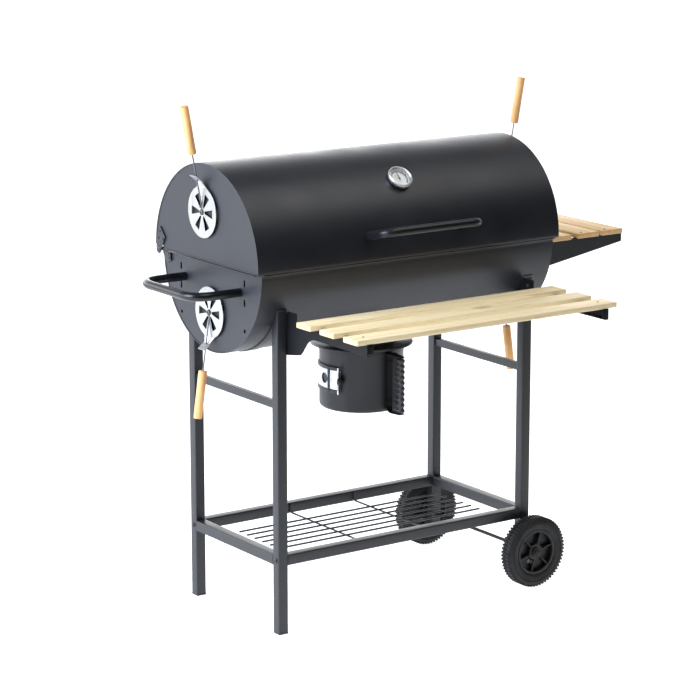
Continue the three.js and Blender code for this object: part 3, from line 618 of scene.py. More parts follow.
def wood(name, axis, shift, pale, warm, dark, line_scale=150.0):
    """Planed softwood: growth lines along one axis, a few knots, open pores, darker end grain."""
    n = Nodes(name)
    lines = n.noise(1.0, 5, 0.62, 0.9, n.stretched(axis, line_scale, line_scale * 0.028, shift))
    bands = n.noise(1.0, 3, 0.5, 1.4, n.stretched(axis, 34.0, 1.6, shift))
    pore = n.noise(1.0, 2, 0.5, 0.0, n.stretched(axis, 1500.0, 40.0, shift))
    base = n.ramp(bands, (0.30, warm), (0.52, pale), (0.74, warm))
    base = n.mix(n.span(lines, 0.0, 0.62, 0.50, 0.72), base, dark)
    knots = n.add("ShaderNodeTexVoronoi", feature="F1")
    knots.inputs["Scale"].default_value = 1.0
    knots.inputs["Randomness"].default_value = 1.0
    n.join(n.stretched(axis, 7.0, 3.4, shift), knots.inputs["Vector"])
    base = n.mix(n.span(knots.outputs["Distance"], 0.8, 0.0, 0.03, 0.13), base, shade(dark, 0.55))
    base = n.mix(n.span(pore, 0.0, 0.16, 0.55, 0.75), base, shade(dark, 0.7))
    across = n.add("ShaderNodeMath", operation="ABSOLUTE")
    n.join(n.axes(n.facing)[axis], across.inputs[0])
    base = n.mix(n.span(across.outputs["Value"], 0.0, 1.0, 0.6, 0.9), base, END_GRAIN, "MULTIPLY")
    n.join(base, n.shader.inputs["Base Color"])
    n.join(n.span(lines, 0.49, 0.63), n.shader.inputs["Roughness"])
    n.shader.inputs["Specular IOR Level"].default_value = 0.35
    fine = n.bump(pore, 0.25, 0.00012)
    n.join(n.bump(lines, 0.22, 0.0003, fine), n.shader.inputs["Normal"])
    return n.material


def moulded(name, colour, roughness, grain=1800.0, strength=0.3):
    """Moulded plastic or rubber: fine leathery grain, faint scuffs."""
    n = Nodes(name)
    scuff = n.noise(60, 4, 0.6)
    dust = n.noise(14, 3, 0.5)
    n.join(n.mix(n.span(dust, 0, 1, 0.35, 0.75), colour, shade(colour, 1.7)), n.shader.inputs["Base Color"])
    n.join(n.span(scuff, roughness - 0.08, roughness + 0.08), n.shader.inputs["Roughness"])
    n.shader.inputs["Specular IOR Level"].default_value = 0.4
    n.join(n.bump(n.noise(grain, 2, 0.5), strength, 0.0001), n.shader.inputs["Normal"])
    return n.material


def dial_face():
    """White enamel with a faint mottle."""
    n = Nodes("dial_white")
    mottle = n.noise(700, 2, 0.5)
    n.join(n.mix(n.span(mottle, 0, 1), (0.97, 0.97, 0.96), (0.92, 0.93, 0.93)), n.shader.inputs["Base Color"])
    n.join(n.span(mottle, 0.32, 0.42), n.shader.inputs["Roughness"])
    return n.material


def clear_glass():
    """Thin clear glass with a faint smear. Its low index keeps the dial behind it bright."""
    n = Nodes("clear_glass")
    smear = n.noise(90, 3, 0.6)
    n.join(n.span(smear, 0.02, 0.07), n.shader.inputs["Roughness"])
    n.join(n.mix(n.span(smear, 0, 1), (1.0, 1.0, 1.0), (0.97, 0.98, 0.98)), n.shader.inputs["Base Color"])
    n.shader.inputs["Transmission Weight"].default_value = 1.0
    n.shader.inputs["IOR"].default_value = 1.2
    return n.material


BARREL = painted_steel("barrel_paint", (0.009, 0.0105, 0.0155), (0.012, 0.014, 0.020), 0.42)
FRAME = painted_steel("frame_powder_coat", (0.0125, 0.0135, 0.0155), (0.0165, 0.0175, 0.0205), 0.44,
                      orange_peel=0.2, dust=0.2)
# Painted shade: a darker copy of the frame paint, standing in for the bowl's shadow on the front shelf
# brackets; the pot handle strap uses it too.
SHADED_BRACKET_PAINT = painted_steel("bracket_paint_with_painted_shade", (0.006, 0.0062, 0.007), (0.009, 0.0095, 0.011), 0.45,
                        orange_peel=0.16, dust=0.2, gloss=0.1)
TUBE_BLACK = painted_steel("handle_paint", (0.008, 0.009, 0.011), (0.012, 0.013, 0.016), 0.32,
                           orange_peel=0.08, dust=0.12, gloss=0.35)
PUSH_PAINT = painted_steel("push_handle_paint", (0.006, 0.0065, 0.008), (0.009, 0.0095, 0.011), 0.27,
                           orange_peel=0.08, dust=0.12, gloss=0.4)
# The pot's own black paint, made darker than the barrel paint as painted shade for the pot's place under the
# barrel.
POT_PAINT_AND_SHADE = painted_steel("pot_paint_and_painted_shade", (0.0065, 0.007, 0.009), (0.009, 0.0095, 0.012), 0.42,
                          dust=0.2, gloss=0.4)
SCREW = painted_steel("screw_black", (0.012, 0.012, 0.013), (0.02, 0.02, 0.021), 0.34,
                      orange_peel=0.05, dust=0.1)
WIRE = painted_steel("wire_paint", (0.012, 0.0125, 0.014), (0.018, 0.019, 0.021), 0.40,
                     orange_peel=0.15, dust=0.15)
ENAMEL = painted_steel("grate_enamel", (0.014, 0.013, 0.012), (0.03, 0.027, 0.024), 0.5,
                       orange_peel=0.4, dust=0.5)
NEEDLE = painted_steel("needle_black", (0.05, 0.05, 0.05), (0.07, 0.07, 0.07), 0.4,
                       orange_peel=0.02, dust=0.0)
PRINT = painted_steel("dial_print", (0.16, 0.17, 0.18), (0.20, 0.21, 0.22), 0.5,
                      orange_peel=0.02, dust=0.0)
CHROME = plated_steel("bright_plating", (0.60, 0.61, 0.61), 0.30)
STEM_WIRE = plated_steel("stem_plating", (0.20, 0.20, 0.205), 0.35)
BEZEL = plated_steel("bezel_chrome", (0.95, 0.95, 0.95), 0.34)
AXLE_STEEL = plated_steel("axle_steel", (0.035, 0.035, 0.037), 0.45, streak_axis=1)
RIVET = plated_steel("rivet_steel", (0.11, 0.10, 0.09), 0.5)
GRATE = plated_steel("grate_chrome", (0.60, 0.60, 0.60), 0.30, streak_axis=1)
RUBBER = moulded("tyre_rubber", (0.0045, 0.0045, 0.0047), 0.66, grain=1500, strength=0.4)
HUB = moulded("hub_plastic", (0.004, 0.004, 0.0043), 0.5, grain=2200, strength=0.25)
GRIP_PLASTIC = moulded("grip_plastic", (0.016, 0.016, 0.017), 0.38, grain=2000)
PLUG = moulded("plug_plastic", (0.012, 0.012, 0.012), 0.5, grain=2000)
DIAL = dial_face()
GLASS = clear_glass()

# wood colours: pale, warm, dark
END_GRAIN = (0.74, 0.68, 0.62)
PINE = (0.98, 0.82, 0.51), (0.94, 0.73, 0.41), (0.60, 0.36, 0.14)
WARM_PINE = (0.98, 0.71, 0.38), (0.94, 0.63, 0.30), (0.62, 0.34, 0.12)
BEECH = wood("beech", 2, (0.31, 0.12, 0.55), (0.93, 0.51, 0.21), (0.84, 0.44, 0.175), (0.52, 0.25, 0.09),
             line_scale=260.0)


def pine(index, axis):
    """Each board has its own stretch of grain."""
    shift = (0.37 * index + 0.11, 0.83 * index + 0.29, 0.53 * index)
    return wood(f"pine_{index}", axis, shift, *PINE)


def warm_pine(index, axis):
    shift = (0.41 * index + 0.17, 0.71 * index + 0.33, 0.59 * index)
    return wood(f"warm_pine_{index}", axis, shift, *WARM_PINE)


ENDS = (("left", -1), ("right", 1))
SIDES = (("front", -1), ("rear", 1))

# ---------- trolley ----------


def saddle_height(y, radius):
    """Height of a circle round the bowl's axis, below that axis, at the given y."""
    return BOWL_Z - math.sqrt(radius * radius - y * y)


def foot_plug(x0, x1, y0, y1, z0, foot):
    """A plastic plug under a leg: a flange below the tube and a neck inside it."""
    inset, neck_height = TUBE_WALL + 0.2, 12
    flange = block(x0, x1, y0, y1, z0, foot, 1.2, 3)
    neck = block(x0 + inset, x1 - inset, y0 + inset, y1 - inset, foot - 1, foot + neck_height, 0.5)
    return merge(flange, neck)


def make_trolley():
    plug_flange = 3.5
    leg_top_radius = BOWL_RADIUS + GAP + SADDLE_THICKNESS + GAP
    plugs = []
    for end, _ in ENDS:
        for side, _ in SIDES:
            node = f"leg_{side}_{end}"
            x0, x1, y0, y1, z0, _ = box_mm(node)
            foot = z0 + plug_flange
            leg = square_tube(2, foot, 0, (x0 + x1) / 2, (y0 + y1) / 2,
                              trim=lambda x, y: saddle_height(y, leg_top_radius))
            piece(node + "_tube", leg, FRAME, "trolley", [node])
            plugs.append(foot_plug(x0, x1, y0, y1, z0, foot))
        for kind in ("side_rail", "side_brace"):
            node = f"{kind}_{end}"
            x0, x1, y0, y1, z0, z1 = box_mm(node)
            tube = square_tube(1, y0, y1, (x0 + x1) / 2, (z0 + z1) / 2, x1 - x0, z1 - z0, 2.6)
            piece(node + "_tube", tube, FRAME, "trolley", [node])
        make_saddle(end)
    for side, _ in SIDES:
        node = f"long_rail_{side}"
        x0, x1, y0, y1, z0, z1 = box_mm(node)
        tube = square_tube(0, x0, x1, (y0 + y1) / 2, (z0 + z1) / 2)
        piece(node + "_tube", tube, FRAME, "trolley", [node])
    piece("leg_plugs", merge(*plugs), PLUG, "trolley")


def make_saddle(end):
    """A curved strap under the bowl, between the tops of two legs."""
    node = f"saddle_{end}"
    x0, x1, y0, _, _, _ = box_mm(node)
    inner = BOWL_RADIUS + GAP
    outer = inner + SADDLE_THICKNESS
    reach = math.degrees(math.asin(-y0 / outer))
    section = rounded([(x0, inner, 0), (x1, inner, 0), (x1, outer, 0), (x0, outer, 0)], 0.6, 2)
    rings = []
    steps = 48
    for i in range(steps + 1):
        angle = -90 - reach + 2 * reach * i / steps
        rings.append([(p.x, *polar(p.y, angle, 0, BOWL_Z)) for p in section])
    piece(node + "_strap", rings_to_shape(rings), FRAME, "trolley", [node])


def make_wire_shelf():
    x0, x1, y0, y1, z0, _ = box_mm("wire_shelf")
    radius, weld = SHELF_WIRE_RADIUS, 0.5
    cross_z = z0 + radius
    long_z = cross_z + 2 * radius - weld
    hook_z = cross_z + SHELF_HOOK
    near, far = y0 + radius, y1 - radius
    wires = [rod((x0, y, long_z), (x1, y, long_z), radius, 12, 0.6) for y in SHELF_LONG_WIRES]
    for x in SHELF_CROSS_WIRES:
        corners = [(x, near, hook_z), (x, near, cross_z), (x, far, cross_z), (x, far, hook_z)]
        wires.append(sweep(rounded(corners, 7, 6, closed=False), circle(radius, 12)))
    piece("wire_shelf_wires", merge(*wires), WIRE, "trolley", ["wire_shelf"])


def make_frame_bolts():
    """Heads of the screws that hold the trolley together."""
    heads = []
    leg_x0 = box_mm("leg_front_left")[0]
    _, leg_x1, _, leg_y1, _, _ = box_mm("leg_rear_right")
    _, _, _, _, rail_z0, rail_z1 = box_mm("long_rail_front")
    middle_y = leg_y1 - TUBE / 2
    for y in (-middle_y, middle_y):
        for x, out in ((leg_x0, -1), (leg_x1, 1)):
            heads.append(dome_head((x, y, (rail_z0 + rail_z1) / 2), (out, 0, 0), 5.5, 3.2))
        for x, out in ((leg_x0 + TUBE, 1), (leg_x1 - TUBE, -1)):
            heads.append(dome_head((x, y, BRACE_SCREW_Z), (out, 0, 0), 5.0, 3.0))
    piece("frame_screws", merge(*heads), SCREW, "trolley")


# ---------- wheels ----------


def wheel_place(side, side_sign):
    """Local Z points outwards along the axle."""
    centre = (WHEEL_X, side_sign * (WHEEL_INNER[side] + WHEEL_WIDTH / 2), WHEEL_RADIUS)
    return basis(X_AXIS, Z_AXIS * -side_sign, Y_AXIS * side_sign, centre)


def symmetric_lathe(upper, steps):
    """Turns a closed section that is the same above and below local z = 0. upper is its upper half."""
    section = [(radius, -height) for radius, height in reversed(upper)] + upper
    return lathe([*section, section[0]], steps)


def tyre_shape():
    """A carcass with a groove round each side wall, and two staggered rows of tread lugs."""
    half = WHEEL_WIDTH / 2
    tread = WHEEL_RADIUS - 2.6
    carcass = [(tread, half - 8), (tread - 1, half - 4.6), (tread - 4, half - 2.2), (73, half),
               (72, half - 1.3), (70, half - 1.3), (69, half), (WHEEL_RIM + 8, half - 0.3),
               (WHEEL_RIM + 3, half - 1.2), (WHEEL_RIM, half - 4)]
    lugs = []
    lug_count, lug_inner, lug_outer, lug_half = 60, 1.6, half - 3.4, 2.5
    for i in range(lug_count):
        for low, high, stagger in ((-lug_outer, -lug_inner, 0), (lug_inner, lug_outer, 0.5)):
            lug = block(tread - 2.5, WHEEL_RADIUS - 0.1, -lug_half, lug_half, low, high, 0.8, 1)
            lugs.append(turned(lug, 360 * (i + stagger) / lug_count))
    return merge(symmetric_lathe(carcass, 96), *lugs)


def hub_shape(side_sign):
    """Deep outer rim and a bearing boss, joined by a thin web with two small holes and six deep ribs."""
    rim_outer, rim_inner, half = WHEEL_RIM - 0.3, WHEEL_RIM - 7, WHEEL_WIDTH / 2 - 4
    rim = symmetric_lathe([(rim_outer, half), (rim_outer - 0.6, half + 1), (rim_inner + 1, half + 1),
                           (rim_inner, half)], 72)
    boss = symmetric_lathe([(12, 17), (11, 18), (4.4, 18)], 48)
    collar = symmetric_lathe([(19.5, 11.5), (18.5, 12.5), (11.6, 12.5)], 48)
    rib_half, rib_depth = 1.8, 13
    ribs = []
    for i in range(SPOKES):
        rib = block(17, rim_inner + 1, -rib_half, rib_half, -rib_depth, rib_depth, 1.0, 2)
        ribs.append(turned(rib, 360 * i / SPOKES - side_sign * HUB_TURN))
    holes = [circle(5, 24, *polar(27, angle - side_sign * HUB_HOLE_TURN)) for angle in (0, 180)]
    web = plate([circle(rim_inner + 1, 72), *holes], 3, Matrix.Identity(4), 0.5)
    return merge(rim, boss, collar, web, *ribs)


def make_wheels():
    for side, sign in SIDES:
        place = wheel_place(side, sign)
        body = f"wheel_{side}"
        tyre, hub = moved(tyre_shape(), place), moved(hub_shape(sign), place)
        piece(f"tyre_{side}_tread", tyre, RUBBER, body, [f"tyre_{side}"], sharp_angle=40)
        piece(f"hub_{side}_moulding", hub, HUB, body, [f"hub_{side}"])
    near, far = box_mm("axle")[2:4]
    cap_height = 4
    cap = lathe([(0, 0), (8, 0), (8, 1), (7.4, 1.6), (5.6, 1.8), (4.8, 3.4), (2.4, 3.9), (0, cap_height)], 28)
    bar_end = cap_height - 1
    parts = [rod((WHEEL_X, near + bar_end, WHEEL_RADIUS), (WHEEL_X, far - bar_end, WHEEL_RADIUS), 4, 24)]
    for sign, y in ((-1, near + cap_height), (1, far - cap_height)):
        place = basis(X_AXIS, Z_AXIS * -sign, Y_AXIS * sign, (WHEEL_X, y, WHEEL_RADIUS))
        parts.append(moved(cap, place))
    piece("axle_rod", merge(*parts), AXLE_STEEL, "trolley", ["axle"])


# ---------- barrel ----------


def flat(points):
    """The (u, v) part of 3-D points."""
    return [(p.x, p.y) for p in points]


def wedge_loops(centre_y, centre_z, twist=0.0):
    """The six air slots of a vent, as outlines in (y, z)."""
    loops = []
    for i in range(SLOTS):
        middle = 360 / SLOTS * i + twist
        low, high = middle - SLOT_HALF_ANGLE, middle + SLOT_HALF_ANGLE
        corners = [(*polar(radius, angle, centre_y, centre_z), 0)
                   for radius, angle in ((SLOT_INNER, low), (SLOT_OUTER, low),
                                         (SLOT_OUTER, high), (SLOT_INNER, high))]
        loops.append(flat(rounded(corners, 1.2, 2)))
    return loops


def upright_slot(y, z):
    half_width, half_height = 3, 8
    corners = [(y + u * half_width, z + v * half_height, 0) for u, v in ((-1, -1), (1, -1), (1, 1), (-1, 1))]
    return flat(rounded(corners, half_width - 0.1, 4))


def shell_shape(outline, half):
    """Extrudes a closed (y, z) outline along the barrel with rings close to the ends for a clean edge."""
    near_end, spans = half - 2, 12
    stations = [-half, *(-near_end + 2 * near_end * i / spans for i in range(spans + 1)), half]
    return rings_to_shape([[(x, y, z) for y, z in outline] for x in stations])


def rim_bead(radius, centre_z, start, end, x):
    """A half-round bead along an end plate's edge."""
    path = [(x, *p) for p in arc(radius, start, end, 96, 0, centre_z)]
    return sweep(path, circle(1.1, 10))


def make_bowl_shell(inner, rim_angle):
    """A trough with an outlet for the ash, a lip folded out along its front edge, and two grate ledges."""
    front, fold = 180 - rim_angle, -BOWL_RADIUS - BOWL_LIP
    lip = [(fold + 0.8, BOWL_RIM - 0.2), (fold, BOWL_RIM - 1.1), (fold + 0.8, BOWL_RIM - 1.9),
           (-BOWL_RADIUS - 1.5, BOWL_RIM - 1.9)]
    outline = [(-inner, BOWL_RIM - 0.2), *lip, *arc(BOWL_RADIUS, front + 1.2, 360 + rim_angle, 96, 0, BOWL_Z),
               *arc(inner, 360 + rim_angle, front + 0.8, 96, 0, BOWL_Z)]
    bowl = piece("bowl_shell_sheet", shell_shape(outline, BOWL_HALF), BARREL, "trolley",
                 ["bowl_shell"], shift=BOWL_X)
    bottom = BOWL_Z - BOWL_RADIUS
    cut_away(bowl, rod((0, 0, bottom - 30), (0, 0, bottom + 60), OUTLET_RADIUS, 64))
    ledges = []
    for sign in (-1, 1):
        near, far = sorted((sign * (inner - LEDGE_WIDTH), sign * (inner + 0.4)))
        ledges.append(block(-BOWL_HALF + 3, BOWL_HALF - 3, near, far, LEDGE_Z, LEDGE_Z + SHEET, 0.4))
    piece("bowl_ledges", merge(*ledges), BARREL, "trolley", shift=BOWL_X)


def make_bowl_end(end, sign, inner, rim_angle):
    """An end plate with air slots, the push handle's slots and a lip that meets the lid's end plate."""
    face = BOWL_HALF - END_PLATE_STEP
    outline = arc(inner - GAP, 180 - rim_angle, 360 + rim_angle, 96, 0, BOWL_Z)
    holes = wedge_loops(-sign * VENT_OFFSET, VENT_LOWER_Z, VENTS_SHUT)
    for y in (-HANDLE_SLOT_Y, HANDLE_SLOT_Y):
        holes += [upright_slot(y, z) for z in HANDLE_SLOTS_Z]
        holes.append(circle(4, 20, y, END_HOLE_Z))
    sheet = plate([outline, *holes], SHEET, across_x(sign * (face - SHEET / 2)), 0.3)
    bead = rim_bead(inner - 0.6, BOWL_Z, 180 - rim_angle, 360 + rim_angle, sign * (face + 0.1))
    x_near, x_far = sorted((sign * (face - 0.4), sign * (lid_overhang(sign) + 1.5)))
    lip = block(x_near, x_far, -inner + 2, NOTCH_Y - 22, BOWL_RIM - 1.7, BOWL_RIM - 0.1, 0.5)
    piece(f"bowl_end_{end}_sheet", merge(sheet, bead, lip), BARREL, "trolley",
          [f"bowl_end_{end}"], shift=BOWL_X)


def lid_overhang(sign):
    """How far the lid reaches along the barrel at one end, from the bowl's middle."""
    return LID_HALF + sign * (LID_X - BOWL_X)


def make_bowl():
    inner = BOWL_RADIUS - SHEET
    rim_angle = math.degrees(math.asin((BOWL_RIM - BOWL_Z) / BOWL_RADIUS))
    make_bowl_shell(inner, rim_angle)
    for end, sign in ENDS:
        make_bowl_end(end, sign, inner, rim_angle)


def make_lid():
    inner = LID_RADIUS - SHEET
    front = 180 + math.degrees(math.asin((LID_Z - LID_BOTTOM) / LID_RADIUS))
    rear = math.degrees(math.asin((LID_REAR_BOTTOM - LID_Z) / LID_RADIUS))
    outline = [*arc(LID_RADIUS, front - 0.2, rear, 96, 0, LID_Z),
               *arc(inner, rear, front - 2.2, 96, 0, LID_Z),
               (-inner + 1.2, LID_BOTTOM + 7), (-inner + 1.2, LID_BOTTOM + 0.9),
               (-inner + 0.4, LID_BOTTOM + 0.15), (-LID_RADIUS + 0.4, LID_BOTTOM + 0.15)]
    piece("lid_shell_sheet", shell_shape(outline, LID_HALF), BARREL, "lid", ["lid_shell"],
          shift=LID_X)
    for end, sign in ENDS:
        rim, face = inner - GAP, LID_HALF - END_PLATE_STEP
        outline = [*arc(rim, rear, front, 96, 0, LID_Z), (NOTCH_Y, LID_BOTTOM), (NOTCH_Y, LID_REAR_BOTTOM)]
        holes = wedge_loops(-sign * VENT_OFFSET, VENT_UPPER_Z, VENTS_SHUT)
        sheet = plate([outline, *holes], SHEET, across_x(sign * (face - SHEET / 2)), 0.3)
        bead = rim_bead(rim - 0.3, LID_Z, rear + 1, front - 1, sign * (face + 0.1))
        hem_x, hem_z = sign * (face + 0.4), LID_BOTTOM + 1.5
        hem = rod((hem_x, -rim + 3, hem_z), (hem_x, NOTCH_Y, hem_z), 1.5, 12)
        piece(f"lid_end_{end}_sheet", merge(sheet, bead, hem), BARREL, "lid",
              [f"lid_end_{end}"], shift=LID_X)


def make_hinge_arm(end, sign):
    """A flat arm screwed to the lid's end plate, with an eye for the pin."""
    x = sign * (LID_HALF + GAP + ARM_THICKNESS / 2)
    outline = [*arc(HINGE_EYE, -180, 0, 12, HINGE_Y, HINGE_Z), (HINGE_Y + 9, HINGE_Z + 25),
               *arc(5, 0, 140, 6, HINGE_Y - 5, HINGE_Z + 49), (HINGE_Y - 28, HINGE_Z + 31)]
    eye = circle(HINGE_PIN + 0.4, 20, HINGE_Y, HINGE_Z)
    sheet = plate([outline, eye], ARM_THICKNESS, across_x(x), 0.4)
    piece(f"hinge_arm_{end}_plate", sheet, BARREL, "lid", [f"hinge_arm_{end}"], shift=LID_X)
    outer_face = x + sign * ARM_THICKNESS / 2
    heads = [dome_head((outer_face, HINGE_Y + y, HINGE_Z + z), (sign, 0, 0), 3.4, 2.0)
             for y, z in ((1, 26), (-18, 25), (-5, 42))]
    piece(f"hinge_arm_{end}_screws", merge(*heads), SCREW, "lid", shift=LID_X)


def make_hinge_bracket(end, sign):
    """A plate riveted to the bowl's end plate, with the pin that the arm turns on."""
    x = sign * (BOWL_HALF + GAP + HINGE_BRACKET_THICKNESS / 2)
    outline = [(HINGE_Y - 28, HINGE_Z - 25), (HINGE_Y - 8, HINGE_Z - 31), (HINGE_Y + 5, HINGE_Z - 11),
               *arc(7, -20, 140, 8, HINGE_Y, HINGE_Z), (HINGE_Y - 26, HINGE_Z - 7)]
    bracket = plate([outline], HINGE_BRACKET_THICKNESS, across_x(x), 0.5)
    pin_end = lid_overhang(sign) + 4
    pin = rod((sign * (BOWL_HALF + 1), HINGE_Y, HINGE_Z), (sign * pin_end, HINGE_Y, HINGE_Z), HINGE_PIN, 20)
    head = dome_head((sign * (pin_end - 1.4), HINGE_Y, HINGE_Z), (sign, 0, 0), 6.8, 1.9)
    outer_face = x + sign * HINGE_BRACKET_THICKNESS / 2
    rivets = [dome_head((outer_face, HINGE_Y + y, HINGE_Z + z), (sign, 0, 0), 3.0, 1.8)
              for y, z in ((-20, -20), (-19, -11))]
    piece(f"hinge_bracket_{end}_plate", merge(bracket, pin, head, *rivets), SCREW, "trolley",
          [f"hinge_bracket_{end}"], shift=BOWL_X)


def make_hinges():
    for end, sign in ENDS:
        make_hinge_arm(end, sign)
        make_hinge_bracket(end, sign)


# ---------- vents ----------


def vent_outline():
    """The disc and the root of its tab, in (y, z)."""
    root_top, rim_end = 56.5, 68
    rim = arc(VENT_RADIUS, 180 - rim_end, 360 + rim_end, 72)
    return rim + [(TAB_ROOT_HALF, root_top), (-TAB_ROOT_HALF, root_top)]


def tab_part(low, high, half_low, half_high):
    """A flat part of the bent tab, between two (outwards, up) points on its inner face."""
    start, end = Vector((low[0], 0, low[1])), Vector((high[0], 0, high[1]))
    up = (end - start).normalized()
    inward = Y_AXIS.cross(up)
    length, lap = (end - start).length, 0.4
    outline = [(-half_low, -lap), (half_low, -lap), (half_high, length + lap), (-half_high, length + lap)]
    return plate([outline], SHEET, basis(Y_AXIS, up, inward, start - inward * (SHEET / 2)), 0.3)


def vent_place(sign, face, centre_z, hangs):
    """Built for the left end with the stem up: local X is outwards (-X there), local Z up."""
    turn = Matrix.Rotation(math.pi, 4, "X") if hangs else Matrix.Identity(4)
    flip = Matrix.Rotation(math.pi, 4, "Z") if sign > 0 else Matrix.Identity(4)
    return Matrix.Translation((sign * face, -sign * VENT_OFFSET, centre_z)) @ flip @ turn


def vent_grip_shape():
    """A round wooden grip with softened edges and a bore for the stem."""
    radius, bore, bore_depth = GRIP_RADIUS, STEM_RADIUS + 0.1, 6
    return lathe([(0, bore_depth), (bore, bore_depth), (bore, 0), (radius - 1.6, 0), (radius - 0.5, 0.5),
                  (radius, 1.6), (radius, GRIP_LENGTH - 1.6), (radius - 0.5, GRIP_LENGTH - 0.5),
                  (radius - 1.6, GRIP_LENGTH), (0, GRIP_LENGTH)], 32)


def make_vent(end, sign, level, lean, face, centre_z, body_x):
    """A turning disc with a bent tab, a wire stem that leans outwards and a wooden grip."""
    slope = math.tan(radians(lean))
    place = vent_place(sign, face, centre_z, level == "lower")

    def outward(height):
        return -(SHEET + 1 + (height - STEM_START) * slope)

    node = f"vent_{level}_{end}"
    disc = plate([vent_outline(), *wedge_loops(0, 0)], SHEET, across_x(-SHEET / 2), 0.35)
    neck = tab_part(TAB_ROOT, TAB_BEND, TAB_ROOT_HALF, TAB_NECK_HALF)
    head = tab_part(TAB_BEND, TAB_TIP, TAB_HALF, TAB_HALF)
    sheet = moved(merge(disc, neck, head), place)
    piece(node + "_plate", sheet, CHROME, node, [node], shift=body_x)
    stem_end = GRIP_START + 30
    path = [(-SHEET - 0.9, 0, 7), (outward(STEM_START) + 0.8, 0, STEM_START),
            (outward(stem_end), 0, stem_end)]
    stem = sweep(rounded(path, 4, 4, closed=False), circle(STEM_RADIUS, 12))
    piece(node + "_stem", moved(stem, place), STEM_WIRE, node, shift=body_x)
    head = dome_head((-SHEET, 0, 0), (-1, 0, 0), 7, 4)
    shank = rod((-SHEET, 0, 0), (VENT_STAND_OFF, 0, 0), 4, 24)
    piece(node + "_rivet", moved(merge(head, shank), place), RIVET, node, shift=body_x)
    tilt = Matrix.Translation((outward(GRIP_START), 0, GRIP_START)) @ Matrix.Rotation(-radians(lean), 4, "Y")
    name = f"vent_grip_{level}_{end}"
    piece(name + "_wood", moved(vent_grip_shape(), place @ tilt), BEECH, node, [name], shift=body_x)


def make_vents():
    air = GAP + VENT_STAND_OFF
    for end, sign in ENDS:
        make_vent(end, sign, "upper", UPPER_LEAN, LID_HALF + air, VENT_UPPER_Z, LID_X)
        make_vent(end, sign, "lower", LOWER_LEAN, BOWL_HALF + air, VENT_LOWER_Z, BOWL_X)


# ---------- handles and thermometer ----------


def bent_tube(half, root, reach, corner, steps, radius):
    """A round tube bent into a U: local X across it, local Z from its two roots to its far side."""
    corners = [(-half, 0, root), (-half, 0, reach), (half, 0, reach), (half, 0, root)]
    return sweep(rounded(corners, corner, steps, closed=False), circle(radius, 28))


def make_handles():
    push = bent_tube(PUSH_HALF_SPAN, BOWL_HALF + GAP, PUSH_REACH, PUSH_CORNER, 14, PUSH_RADIUS)
    place = basis(Y_AXIS, -Z_AXIS, -X_AXIS, (0, 0, PUSH_Z))
    piece("push_handle_tube", moved(push, place), PUSH_PAINT, "trolley", ["push_handle"],
          shift=BOWL_X)
    lift = bent_tube(LID_HANDLE_HALF, LID_RADIUS + 0.4, LID_RADIUS + LID_HANDLE_REACH, LID_HANDLE_CORNER, 12,
                     LID_HANDLE_RADIUS)
    place = on_lid(LID_HANDLE_ANGLE, LID_HANDLE_X)
    piece("lid_handle_tube", moved(lift, place), TUBE_BLACK, "lid", ["lid_handle"],
          shift=LID_X)


def make_scale(dial_top, radius):
    """A ring line and thirteen ticks, without figures."""
    scale_start, scale_turn, ticks = -45, 270, 13
    outer, inner = radius - 3.2, radius - 6.4
    scale_end = scale_start + scale_turn
    band = [*arc(outer, scale_start, scale_end, 60), *arc(inner, scale_end, scale_start, 60)]
    marks = [plate([band], 0.16, Matrix.Translation((0, 0, dial_top + 0.1)), 0.02)]
    for i in range(ticks):
        low, length = outer + 0.5, 2.0 if i % 3 == 0 else 1.2
        tick = block(low, low + length, -0.22, 0.22, dial_top, dial_top + 0.2, 0.02, 1)
        marks.append(turned(tick, scale_start + scale_turn * i / (ticks - 1)))
    return merge(*marks)


def make_thermometer():
    place = on_lid(THERMOMETER_ANGLE, THERMOMETER_X)
    radius, base, tip = THERMOMETER_RADIUS, LID_RADIUS + 2, LID_RADIUS - PROBE_LENGTH
    front = base + THERMOMETER_DEPTH
    floor = base + 2
    cup = [(0, tip), (2.6, tip), (3.6, tip + 1.5), (4, tip + 4), (4, base), (radius - 4, base),
           (radius - 1.6, base + 0.8), (radius - 0.4, base + 3), (radius, base + 5), (radius, front - 3.4),
           (radius - 0.5, front - 1.4), (radius - 1.6, front - 0.3), (radius - 2.8, front),
           (radius - 3.9, front - 0.5), (radius - 4.6, front - 1.6), (radius - 4.7, floor), (0, floor)]
    dial_radius, dial_top = radius - 5.2, floor + 1.3
    face = [(0, floor + 0.2), (dial_radius, floor + 0.2), (dial_radius, dial_top), (0, dial_top)]
    pointer = plate([[(-1.1, -5), (1.1, -5), (0.5, 15.5), (0, 16.6), (-0.5, 15.5)]], 0.6,
                    Matrix.Translation((0, 0, dial_top + 1.0)), 0.1)
    cap = lathe([(0, dial_top + 0.35), (2.3, dial_top + 0.35), (2.3, dial_top + 1.5), (1.6, dial_top + 2),
                 (0, dial_top + 2.1)], 28)
    low, high = front - 3.4, front - 2.1
    window = [(0, low), (dial_radius, low), (dial_radius, high), (0, high + 0.5)]
    for name, shape, material, body, slot, node in (
            ("bezel", lathe(cup, 72), BEZEL, "lid", "chrome", "housing"),
            ("face", lathe(face, 64), DIAL, "lid", "dial", "dial"),
            ("scale", make_scale(dial_top, dial_radius), PRINT, "lid", "dial", None),
            ("pointer", merge(pointer, cap), NEEDLE, "needle", "needle", "needle"),
            ("window", lathe(window, 64), GLASS, "lid", "glass", "glass")):
        stands_for = [f"thermometer_{node}"] if node else []
        piece(f"thermometer_{name}", moved(shape, place), material, body, stands_for, shift=LID_X)


# ---------- shelves ----------


